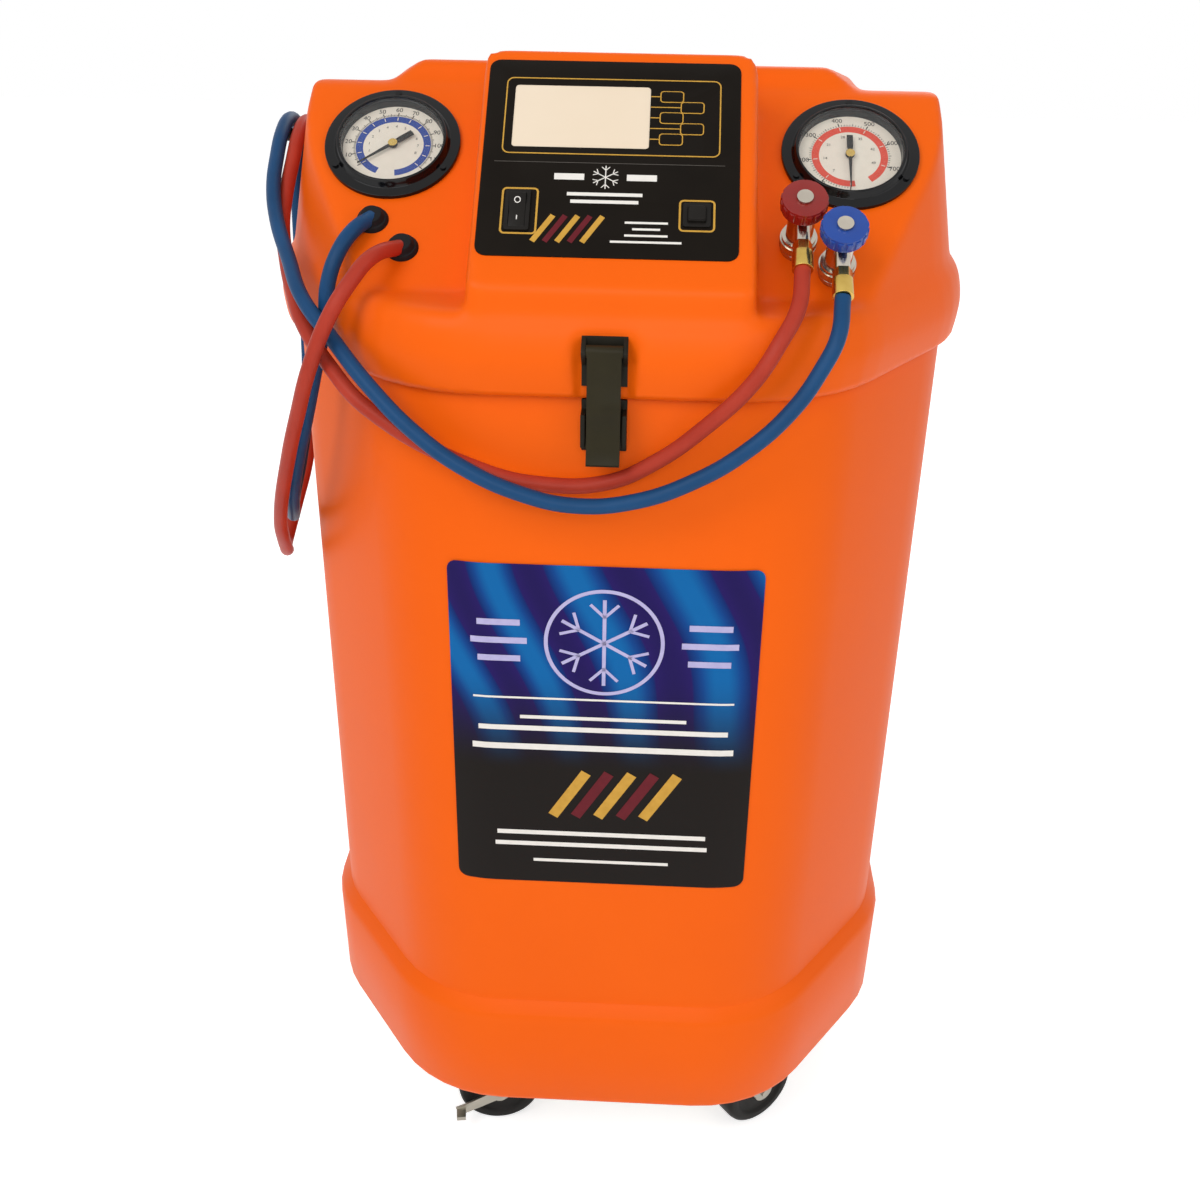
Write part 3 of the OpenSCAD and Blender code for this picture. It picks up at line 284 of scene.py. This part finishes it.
# Printed vinyl: waves of blue and violet about 70 mm apart that fade to black towards the foot, under a
# clear satin film.
vinyl = bpy.data.materials.new("printed_label_vinyl")
vinyl.use_nodes = True
where = add(vinyl, "ShaderNodeTexCoord", {}, {})
parts = add(vinyl, "ShaderNodeSeparateXYZ", {}, {0: where.outputs["Object"]})
lean = add(vinyl, "ShaderNodeMapping", {},
           {"Vector": where.outputs["Object"], "Rotation": (0, radians(14), 0)})
waves = add(vinyl, "ShaderNodeTexWave", {"wave_type": "BANDS", "bands_direction": "X"},
            {"Vector": lean.outputs[0], "Scale": 4.6, "Distortion": 5.5, "Detail": 0.0, "Detail Scale": 1.0})
bands = add(vinyl, "ShaderNodeValToRGB", {}, {"Fac": waves.outputs["Fac"]})
stops = bands.color_ramp.elements
stops[0].position, stops[0].color = 0.0, linear("#1E1152")
stops[1].position, stops[1].color = 0.95, linear("#0B63A4")
for place, code in ((0.30, "#23145C"), (0.36, "#0A2668"), (0.66, "#0A4388")):
    stop = stops.new(place)
    stop.color = linear(code)
fade = add(vinyl, "ShaderNodeMapRange", {"interpolation_type": "SMOOTHSTEP"},
           {"Value": parts.outputs["Z"], "From Min": 0.515, "From Max": 0.625})
tone = add(vinyl, "ShaderNodeMix", {"data_type": "RGBA"},
           {0: fade.outputs["Result"], 6: linear("#17120F"), 7: bands.outputs["Color"]})
scuff = add(vinyl, "ShaderNodeTexNoise", {},
            {"Vector": where.outputs["Object"], "Scale": 35.0, "Detail": 5.0})
gloss = add(vinyl, "ShaderNodeMapRange", {},
            {"Value": scuff.outputs["Fac"], "To Min": 0.30, "To Max": 0.44})
shader = vinyl.node_tree.nodes["Principled BSDF"]
shader.inputs["Specular IOR Level"].default_value = 0.10
vinyl.node_tree.links.new(tone.outputs[2], shader.inputs["Base Color"])
vinyl.node_tree.links.new(gloss.outputs["Result"], shader.inputs["Roughness"])
label.data.materials.append(vinyl)
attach(label, "cabinet")


# One layer of ink: bars, rings and rounded frames, each cut from a plane or a disc, joined to one flat piece.
def ink_layer(name, bars, rings, frames, material):
    cut = []
    for place, w, h in bars:
        bpy.ops.object.select_all(action="DESELECT")
        bpy.ops.mesh.primitive_plane_add(size=1)
        bar = bpy.context.object
        bpy.ops.object.mode_set(mode="EDIT")
        bpy.ops.mesh.select_all(action="SELECT")
        bpy.ops.mesh.subdivide(number_cuts=max(1, int(w / 0.012)))
        bpy.ops.object.mode_set(mode="OBJECT")
        settle(bar, place @ Matrix.Diagonal((w, h, 1, 1)))
        cut.append(bar)
    for x, y, radius, width in rings:
        bpy.ops.object.select_all(action="DESELECT")
        bpy.ops.mesh.primitive_circle_add(vertices=96, radius=radius, fill_type="NGON")
        ring = bpy.context.object
        bpy.ops.object.mode_set(mode="EDIT")
        bpy.ops.mesh.select_all(action="SELECT")
        bpy.ops.mesh.inset(thickness=width, depth=0)
        bpy.ops.mesh.delete(type="FACE")
        bpy.ops.object.mode_set(mode="OBJECT")
        settle(ring, Matrix.Translation((x, y, 0)))
        cut.append(ring)
    for x0, x1, y0, y1, radius, width in frames:
        bpy.ops.object.select_all(action="DESELECT")
        bpy.ops.mesh.primitive_plane_add(size=1)
        rim = bpy.context.object
        settle(rim, Matrix.Translation(((x0 + x1) / 2, (y0 + y1) / 2, 0))
               @ Matrix.Diagonal((x1 - x0, y1 - y0, 1, 1)))
        bpy.ops.object.mode_set(mode="EDIT")
        bpy.ops.mesh.select_all(action="SELECT")
        bpy.ops.mesh.bevel(offset=radius, segments=6, affect="VERTICES")
        bpy.ops.mesh.select_all(action="SELECT")
        bpy.ops.mesh.inset(thickness=width, depth=0)
        bpy.ops.mesh.delete(type="FACE")
        bpy.ops.object.mode_set(mode="OBJECT")
        cut.append(rim)
    take(*cut)
    bpy.ops.object.join()
    layer = bpy.context.object
    layer.name = name
    layer.data.materials.append(material)
    return layer


# Six arms of a snow crystal, each with a pair of short branches.
def crystal(x, y, reach):
    bars = []
    for arm in range(6):
        turn = Matrix.Translation((x, y, 0)) @ Matrix.Rotation(radians(60 * arm), 4, "Z")
        for across, along, lean, w, h in ((0, 0.5, 0, 0.075, 1.0), (0.14, 0.74, -45, 0.065, 0.42),
                                          (-0.14, 0.74, 45, 0.065, 0.42)):
            bars.append((turn @ Matrix.Translation((across * reach, along * reach, 0))
                         @ Matrix.Rotation(radians(lean), 4, "Z"), w * reach, h * reach))
    return bars


# Slanted stripes side by side, every second one of the two colours.
def stripes(x, y, pitch, w, h, first):
    return [(Matrix.Translation((x + pitch * k, y, 0)) @ Matrix.Rotation(radians(-32), 4, "Z"), w, h)
            for k in range(first - 2, 3, 2)]


# Screen-printed inks: warm white, gold, maroon and lilac, each with slightly uneven cover.
white_ink = finish("white_screen_ink", "#E2DDD6", "#F3EFE8", (0.40, 0.50), 8, 2, 0.01)
gold_ink = finish("gold_screen_ink", "#B98A36", "#D9A94A", (0.38, 0.48), 8, 2, 0.01)
maroon_ink = finish("maroon_screen_ink", "#5A1A22", "#6E2029", (0.38, 0.48), 8, 2, 0.01)
lilac_ink = finish("lilac_screen_ink", "#A9A3CF", "#C4BEE2", (0.40, 0.50), 8, 2, 0.01)
rows = [(Matrix.Translation((0, y, 0)), w, h) for y, w, h in (
    (0.0365, 0.234, 0.0020), (0.0165, 0.150, 0.0036), (0.0045, 0.226, 0.0052), (-0.0155, 0.238, 0.0062),
    (-0.1120, 0.196, 0.0048), (-0.1250, 0.200, 0.0048), (-0.1440, 0.128, 0.0034))]
for name, bars, rings, material in (
        ("front_label_white", rows, [], white_ink),
        ("front_label_lilac", crystal(0, 0.095, 0.043) + [
            (Matrix.Translation((side * 0.093, 0.095 + 0.018 * k, 0)), 0.050 - 0.012 * abs(k), 0.0060)
            for side in (-1, 1) for k in (-1, 0, 1)], [(0, 0.095, 0.053, 0.0034)], lilac_ink),
        ("front_label_gold", stripes(0.012, -0.067, 0.021, 0.010, 0.058, 0), [], gold_ink),
        ("front_label_maroon", stripes(0.012, -0.067, 0.021, 0.010, 0.058, 1), [], maroon_ink)):
    layer = ink_layer(name, bars, rings, [], material)
    for vertex in layer.data.vertices:
        vertex.co = on_front(vertex.co.x, label_z + vertex.co.y, 0.0011)
    bpy.ops.object.mode_set(mode="EDIT")
    bpy.ops.mesh.select_all(action="SELECT")
    bpy.ops.mesh.normals_make_consistent(inside=False)
    bpy.ops.object.mode_set(mode="OBJECT")
    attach(layer, "cabinet")


# Lid: the upper moulding, with the rim band, the two gauge wings, the rear ridge and the console block run
# into each other by large soft blends. The console pocket and the grommet holes lie under their pieces, so
# the skin is closed there, then remeshed and smoothed like a casting pulled from a sanded mould.
# Places of the grommets on the left wing, and the plane of the console.
grommets = ((-0.205, 0.070), (-0.177, 0.042))
console = Matrix.Translation((0, front_y, 0.9655)) @ Matrix.Rotation(radians(41.7), 4, "X")
lid = bpy.data.objects.new("lid_moulding", nodes["lid_shell"].data.copy())
bpy.context.collection.objects.link(lid)
take(lid)
bpy.ops.mesh.customdata_custom_splitnormals_clear()
bpy.ops.object.mode_set(mode="EDIT")
bpy.ops.mesh.select_all(action="SELECT")
bpy.ops.mesh.remove_doubles(threshold=0.00001)
bpy.ops.mesh.select_mode(type="FACE")
bpy.ops.mesh.select_all(action="DESELECT")
bpy.ops.object.mode_set(mode="OBJECT")
for face in lid.data.polygons:
    x, v, n = console.inverted() @ face.center
    u = wing.inverted() @ face.center
    for cx, cv in grommets:
        if hypot(u.x - cx, u.y - cv) < 0.011 and -0.00495 < u.z < -0.00005:
            face.select = True
    if abs(x + 0.0045) < 0.1045 and 0.0292 < v < 0.2218 and -0.00495 < n < -0.00005:
        face.select = True
bpy.ops.object.mode_set(mode="EDIT")
bpy.ops.mesh.delete(type="FACE")
bpy.ops.mesh.select_all(action="SELECT")
bpy.ops.mesh.fill_holes(sides=0)
bpy.ops.mesh.normals_make_consistent(inside=False)
bpy.ops.object.mode_set(mode="OBJECT")
bpy.ops.object.modifier_add(type="REMESH")
lid.modifiers["Remesh"].mode = "VOXEL"
lid.modifiers["Remesh"].voxel_size = 0.0032
bpy.ops.object.modifier_apply(modifier="Remesh")
soft = lid.vertex_groups.new(name="soft")
for vertex in lid.data.vertices:
    x, v, n = console.inverted() @ vertex.co
    flat = abs(x + 0.002) < 0.110 and 0.021 < v < 0.230 and abs(n) < 0.004
    soft.add([vertex.index], 0.12 if flat else min(1.0, max(0.0, (vertex.co.z - 0.885) / 0.012)), "REPLACE")
bpy.ops.object.modifier_add(type="SMOOTH")
lid.modifiers["Smooth"].factor = 0.5
lid.modifiers["Smooth"].iterations = 24
lid.modifiers["Smooth"].vertex_group = "soft"
bpy.ops.object.modifier_apply(modifier="Smooth")
bpy.ops.object.modifier_add(type="DECIMATE")
lid.modifiers["Decimate"].ratio = 0.45
bpy.ops.object.modifier_apply(modifier="Decimate")
bpy.ops.object.shade_smooth()
lid.data.materials.clear()
lid.data.materials.append(orange)
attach(lid, "lid")
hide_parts("lid_shell")


# Gauges: two flanged pressure gauges screwed into the wings, black enamelled cases with printed cards behind
# flat lenses. The low side runs to 120 and the high side to 700, over the travel of their needles.
# Stoved enamel: almost black and mirror smooth.
enamel = finish("black_stoved_enamel", "#070708", "#0D0D0F", (0.08, 0.16), 30, 3, 0.01, mirror=0.25)
# Painted pointer: flat black.
pointer_black = finish("black_pointer_paint", "#100E0D", "#181614", (0.40, 0.50), 10, 2, 0.02)
# Printed card: warm white with a slight paper mottle; blue, red, black and white inks printed on it.
card = finish("dial_card", "#DDD4C4", "#E8E0D1", (0.50, 0.60), 7, 1, 0.02)
blue_print = finish("dial_blue_ink", "#1B3987", "#254699", (0.45, 0.55), 7, 1, 0.02)
red_print = finish("dial_red_ink", "#D23F2A", "#E0503A", (0.45, 0.55), 7, 1, 0.02)
black_print = finish("dial_black_ink", "#1A1816", "#24211E", (0.45, 0.55), 7, 1, 0.02)


# A CAD solid that is shown as it is gets only its material.
def paint(node, material):
    nodes[node].data.materials.clear()
    nodes[node].data.materials.append(material)


# Middle of the dials up the wings, and the coloured band printed round each card.
dial_v = 0.151
band_radius = 0.0325
band_width = 0.0063
paint("gauge_screws", enamel)
for side, x, colour, start, step, numerals, fine, slot_from, slot_to in (
        ("low", -0.196, blue_print, 232, 260 / 120, range(10, 120, 10), 10, 172, 202),
        ("high", 0.196, red_print, 180, 0.4125, range(100, 800, 100), 10, 146, 172)):
    soften(side + "_gauge_case", 0.0012, enamel, "lid")
    paint(side + "_gauge_dial", card)
    needle = soften(side + "_gauge_needle", 0.0002, pointer_black, side + "_needle")
    # The hub cap of the needle is brass.
    needle.data.materials.append(brass)
    for face in needle.data.polygons:
        u = wing.inverted() @ face.center
        if hypot(u.x - x, u.y - dial_v) < 0.0042 and u.z > 0.0031:
            face.material_index = 1
    # Coloured band round the card, cut away at the foot for the slot of the zero adjuster.
    band = ink_layer(side + "_dial_band", [], [(0, 0, band_radius, band_width)], [], colour)
    bpy.ops.object.mode_set(mode="EDIT")
    bpy.ops.mesh.select_mode(type="FACE")
    bpy.ops.mesh.select_all(action="DESELECT")
    bpy.ops.object.mode_set(mode="OBJECT")
    for face in band.data.polygons:
        face.select = slot_from < degrees(atan2(face.center.x, face.center.y)) % 360 < slot_to
    bpy.ops.object.mode_set(mode="EDIT")
    bpy.ops.mesh.delete(type="FACE")
    bpy.ops.object.mode_set(mode="OBJECT")
    # Graduations outside the band, long ones at the numerals, and pale ones across it.
    ticks, pale = [], []
    for k in range(0, len(numerals) * fine + fine + 1):
        value = k * numerals[0] / fine
        turn = Matrix.Rotation(-radians(start + value * step), 4, "Z")
        if value * step > 330 or value > numerals[-1] + numerals[0] * (side == "low"):
            continue
        reach, width = 0.0017, 0.0005
        if k % fine == 0:
            reach, width = 0.0038, 0.0009
        elif k % fine == fine / 2:
            reach, width = 0.0026, 0.0006
        ticks.append((turn @ Matrix.Translation((0, 0.0328 + reach / 2, 0)), width, reach))
        if k % fine == 0:
            pale.append((turn @ Matrix.Translation((0, 0.0296, 0)), 0.0007, 0.0036))
    scale = ink_layer(side + "_dial_graduations", ticks, [], [], black_print)
    marks = ink_layer(side + "_dial_marks", pale, [], [], card)
    words = [scale]
    for value in numerals:
        angle = radians(start + value * step)
        for text, radius, size in ((str(value), 0.0396, 0.0062), (str(round(value * 0.07)), 0.0212, 0.0038)):
            bpy.ops.object.select_all(action="DESELECT")
            bpy.ops.object.text_add()
            word = bpy.context.object
            word.data.body = text
            word.data.size = size
            word.data.align_x = "CENTER"
            word.data.align_y = "CENTER"
            bpy.ops.object.convert(target="MESH")
            word = bpy.context.object
            settle(word, Matrix.Translation((radius * sin(angle), radius * cos(angle), 0)))
            words.append(word)
    for word in words:
        word.data.materials.clear()
        word.data.materials.append(black_print)
    take(*words)
    bpy.ops.object.join()
    for layer, lift in ((band, 0.0001), (scale, 0.0002), (marks, 0.0003)):
        settle(layer, wing @ Matrix.Translation((x, dial_v, -0.0010 + lift)))
        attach(layer, "lid")
# Lens: clear flat acrylic, almost invisible but for a faint reflection and a trace of dust.
acrylic = bpy.data.materials.new("clear_acrylic_lens")
acrylic.use_nodes = True
where = add(acrylic, "ShaderNodeTexCoord", {}, {})
dust = add(acrylic, "ShaderNodeTexNoise", {},
           {"Vector": where.outputs["Object"], "Scale": 80.0, "Detail": 4.0})
haze = add(acrylic, "ShaderNodeMapRange", {},
           {"Value": dust.outputs["Fac"], "To Min": 0.03, "To Max": 0.08})
shader = acrylic.node_tree.nodes["Principled BSDF"]
shader.inputs["Base Color"].default_value = linear("#F4F8F8")
shader.inputs["Alpha"].default_value = 0.03
acrylic.node_tree.links.new(haze.outputs["Result"], shader.inputs["Roughness"])
paint("gauge_lenses", acrylic)


# Console: a satin black overlay plate let into the block, with a display, five soft keys, a power rocker
# and a push button. Lines, stripes and bars are screen printed on it; a black film lies behind the openings.
# Polyester overlay: warm black with a fine satin texture, drawn 1.5 mm wide so that it shows.
overlay = finish("satin_black_polyester", "#120E0A", "#1A1510", (0.34, 0.44), 33, 1.5, 0.06, mirror=0.06)
# Key and switch plastic: slightly greyer black, so that the keys stand out from the film.
switch_plastic = finish("black_switch_plastic", "#141210", "#201D1A", (0.34, 0.48), 30, 2, 0.08)
soften("console_plate", 0.0004, overlay, "lid")
soften("switch_bezels", 0.0006, switch_plastic, "lid")
soften("power_rocker", 0.0006, switch_plastic, "rocker")
soften("push_button", 0.0006, switch_plastic, "button")
for k in range(1, 6):
    soften("soft_key_%d" % k, 0.0005, overlay, "key_%d" % k)
backing = ink_layer("console_backing", [(Matrix.Translation((-0.0045, 0.1255, 0)), 0.200, 0.184)], [], [],
                    overlay)
settle(backing, console @ Matrix.Translation((0, 0, 0.0002)))
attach(backing, "lid")
gold_frames = [(-0.093, 0.083, 0.127, 0.203, 0.006, 0.0011),
               (-0.0897, -0.0603, 0.0500, 0.0940, 0.004, 0.0016),
               (0.0512, 0.0800, 0.0558, 0.0858, 0.004, 0.0016)]
leaders = []
for k in range(5):
    x, v = (0.043, 0.0598)[k % 2], 0.186 - 0.0106 * k
    gold_frames.append((x - 0.0097, x + 0.0097, v - 0.0058, v + 0.0058, 0.0028, 0.0009))
    leaders.append((Matrix.Translation(((x + 0.0161) / 2, v, 0)), x - 0.0355, 0.0009))
# Grey ink for the thin rule under the display.
grey_ink = finish("grey_screen_ink", "#4A4642", "#5C5751", (0.40, 0.50), 8, 2, 0.01)
bars = [(Matrix.Translation((x, v, 0)), w, h) for x, v, w, h in (
    (-0.0370, 0.1055, 0.024, 0.0060), (0.0210, 0.1055, 0.024, 0.0060), (-0.008, 0.0890, 0.060, 0.0032),
    (-0.008, 0.0820, 0.054, 0.0032), (0.026, 0.0630, 0.034, 0.0020), (0.026, 0.0570, 0.022, 0.0020),
    (0.026, 0.0510, 0.034, 0.0020), (0.026, 0.0450, 0.056, 0.0020))]
for name, strokes, frames, material in (
        ("console_gold_lines", leaders, gold_frames, gold_ink),
        ("console_rule", [(Matrix.Translation((-0.0055, 0.119, 0)), 0.185, 0.0006)], [], grey_ink),
        ("console_white_print", crystal(-0.008, 0.1055, 0.0112) + bars, [], white_ink),
        ("console_gold_stripes", stripes(-0.036, 0.0560, 0.0098, 0.0046, 0.0290, 0), [], gold_ink),
        ("console_maroon_stripes", stripes(-0.036, 0.0560, 0.0098, 0.0046, 0.0290, 1), [], maroon_ink)):
    layer = ink_layer(name, strokes, [], frames, material)
    settle(layer, console @ Matrix.Translation((0, 0, 0.0012)))
    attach(layer, "lid")
# Display panel: an even warm white sheet behind clear plastic. The glow of its backlight is painted into this
# colour; it gives off no light itself.
painted_backlight = finish("display_painted_backlight", "#EAD6BC", "#F0DFC8", (0.20, 0.26), 80, 4, 0.0)
paint("display_screen", painted_backlight)
# The circle and the bar moulded into the power rocker are filled with white.
marks = ink_layer("rocker_marks", [(Matrix.Translation((0, -0.0065, 0)), 0.0008, 0.004)],
                  [(0, 0.0085, 0.0026, 0.0007)], [], white_ink)
for vertex in marks.data.vertices:
    vertex.co.z = 0.0031 + abs(vertex.co.y) * 0.0024 / 0.014
settle(marks, console @ Matrix.Translation((-0.0765, 0.072, -0.001)) @ Matrix.Rotation(radians(8), 4, "X"))
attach(marks, "rocker")
# Control board behind the plate: green solder lacquer.
lacquer = finish("green_solder_lacquer", "#0F4A2B", "#176038", (0.28, 0.40), 22, 2, 0.04)
paint("control_board", lacquer)


# Grommets and hook: rubber grommets where the hoses leave the left wing, and the plastic peg on the lid's
# left side that the hoses hang on.
# Moulded rubber: dull grey-black; the grain is drawn 1.4 mm wide so that it shows.
rubber = finish("moulded_black_rubber", "#141416", "#1E1E20", (0.50, 0.65), 33, 1.4, 0.15)
# Moulded nylon: brown-black with a satin sheen.
nylon = finish("moulded_black_nylon", "#17150F", "#25221A", (0.34, 0.48), 33, 2, 0.10)
soften("hose_grommets", 0.0010, rubber, "lid")
soften("hose_hook", 0.0012, nylon, "lid")


# Draw latch: a flexible strap on a pin in its bracket under the rim, hooked down over a keeper on the body.
# The strap is olive-black rubber, the bracket and keeper are moulded nylon; all are screwed on.
# Strap rubber: olive black with a soft satin skin.
strap_rubber = finish("olive_black_strap_rubber", "#211D10", "#2F2A19", (0.38, 0.52), 30, 2, 0.10)
soften("latch_bracket", 0.0008, nylon, "lid")
soften("latch_strap", 0.0010, strap_rubber, "latch")
soften("latch_keeper", 0.0008, nylon, "cabinet")


# Rear fittings: two zinc-plated steel hinges between body and lid, a moulded fan grille and the mains inlet.
# Zinc plate: grey and half bright, with duller patches about 25 mm wide.
zinc = finish("zinc_plated_steel", "#8E8A80", "#B4AFA3", (0.28, 0.45), 25, 2, 0.04, 1.0)
soften("hinge_leaf_body", 0.0005, zinc, "cabinet")
soften("hinge_leaf_lid", 0.0005, zinc, "lid")
soften("rear_grille", 0.0006, nylon, "cabinet")
soften("power_inlet", 0.0006, nylon, "cabinet")


# Base and casters: a zinc-plated base plate screwed under the shell and four swivel casters bolted to it,
# pressed steel forks with black rubber wheels; the front two have a brake lever.
# Caster tyre: dark, slightly dusty rubber.
tyre = finish("black_caster_rubber", "#1A1918", "#262422", (0.42, 0.60), 22, 2, 0.06)
paint("base_plate", zinc)
soften("caster_plates", 0.0006, zinc, "cabinet")
for corner in ("fl", "fr", "rl", "rr"):
    soften("caster_fork_" + corner, 0.0006, zinc, "fork_" + corner)
    soften("caster_wheel_" + corner, 0.0015, tyre, "wheel_" + corner)
for corner in ("fl", "fr"):
    soften("brake_pedal_" + corner, 0.0006, zinc, "pedal_" + corner)


# Inside: the recovery cylinder on its scale, compressor, vacuum pump, condenser with its fan, drier and
# valves, bolted to the floor of the cabinet and seen when the lid is open.
# Cast aluminium: pale grey and half matt. Sprayed enamels: grey, blue and green with an even soft gloss.
aluminium = finish("cast_aluminium", "#9A9B9C", "#BFC0C2", (0.35, 0.55), 14, 2, 0.06, 1.0)
grey_enamel = finish("sprayed_grey_enamel", "#8F9598", "#A2A8AB", (0.30, 0.42), 22, 2, 0.03)
blue_enamel = finish("sprayed_blue_enamel", "#1C3F7E", "#274E92", (0.30, 0.42), 22, 2, 0.03)
green_enamel = finish("sprayed_green_enamel", "#1E5A36", "#2A6B44", (0.30, 0.42), 22, 2, 0.03)
for node, material in (("scale_platform", aluminium), ("cylinder_valves", brass),
                       ("condenser_coil", aluminium), ("valve_manifold", aluminium),
                       ("recovery_cylinder", grey_enamel), ("vacuum_pump", blue_enamel),
                       ("filter_drier", green_enamel), ("fan_motor", enamel), ("compressor", enamel),
                       ("condenser_fan", enamel)):
    paint(node, material)


# Floor and light: a white sweep, a large soft key from the upper left, a weaker fill from the right and weak
# front and rear lights. The camera, and what it sees in gloss and glass, meets an even white surround.
bpy.ops.object.select_all(action="DESELECT")
bpy.ops.mesh.primitive_plane_add(size=14)
floor = bpy.context.object
floor.name = "floor"
bpy.ops.object.mode_set(mode="EDIT")
bpy.ops.mesh.select_all(action="SELECT")
bpy.ops.mesh.subdivide(number_cuts=3)
bpy.ops.object.mode_set(mode="OBJECT")


# 1 for what the camera sees, directly, in gloss or through glass, and 0 for the light that falls on things.
def seen_rays(material):
    rays = add(material, "ShaderNodeLightPath", {}, {})
    seen = add(material, "ShaderNodeMath", {"operation": "MAXIMUM"},
               {0: rays.outputs["Is Camera Ray"], 1: rays.outputs["Is Glossy Ray"]})
    seen = add(material, "ShaderNodeMath", {"operation": "MAXIMUM"},
               {0: seen.outputs[0], 1: rays.outputs["Is Transmission Ray"]})
    return seen.outputs[0]


# Painted sweep: matt white that glows a little to the eye, so that it joins the surround.
sweep = bpy.data.materials.new("matt_white_sweep")
sweep.use_nodes = True
where = add(sweep, "ShaderNodeTexCoord", {}, {})
tint = add(sweep, "ShaderNodeTexNoise", {}, {"Vector": where.outputs["Object"], "Scale": 1.0})
tone = add(sweep, "ShaderNodeMix", {"data_type": "RGBA"},
           {0: tint.outputs["Fac"], 6: linear("#F6F6F6"), 7: linear("#FAFAFA")})
glow = add(sweep, "ShaderNodeMath", {"operation": "MULTIPLY"}, {0: seen_rays(sweep), 1: 0.55})
shader = sweep.node_tree.nodes["Principled BSDF"]
shader.inputs["Roughness"].default_value = 0.9
shader.inputs["Emission Color"].default_value = (1, 1, 1, 1)
sweep.node_tree.links.new(tone.outputs[2], shader.inputs["Base Color"])
sweep.node_tree.links.new(glow.outputs[0], shader.inputs["Emission Strength"])
floor.data.materials.append(sweep)
for name, place, aim, size, power in (
        ("key_light", (-1.6, -2.2, 2.9), (0, -0.1, 0.75), 1.6, 36),
        ("fill_light", (2.4, -1.6, 1.9), (0, 0, 0.7), 2.0, 13),
        ("front_light", (0.1, -2.8, 2.0), (0, 0, 0.6), 1.2, 20),
        ("rear_light", (0.6, 2.6, 2.6), (0, 0, 0.8), 2.0, 22)):
    direction = Vector(aim) - Vector(place)
    turn = direction.to_track_quat("-Z", "Y").to_euler()
    bpy.ops.object.light_add(type="AREA", location=place, rotation=turn)
    lamp = bpy.context.object
    lamp.name = name
    lamp.data.size = size
    lamp.data.energy = power
world = bpy.data.worlds.new("white_surround")
bpy.context.scene.world = world
world.use_nodes = True
level = add(world, "ShaderNodeMapRange", {}, {"Value": seen_rays(world), "To Min": 0.48, "To Max": 1.0})
surround = world.node_tree.nodes["Background"]
surround.inputs["Color"].default_value = (1, 1, 1, 1)
world.node_tree.links.new(level.outputs["Result"], surround.inputs["Strength"])
bpy.context.scene.view_settings.view_transform = "Standard"
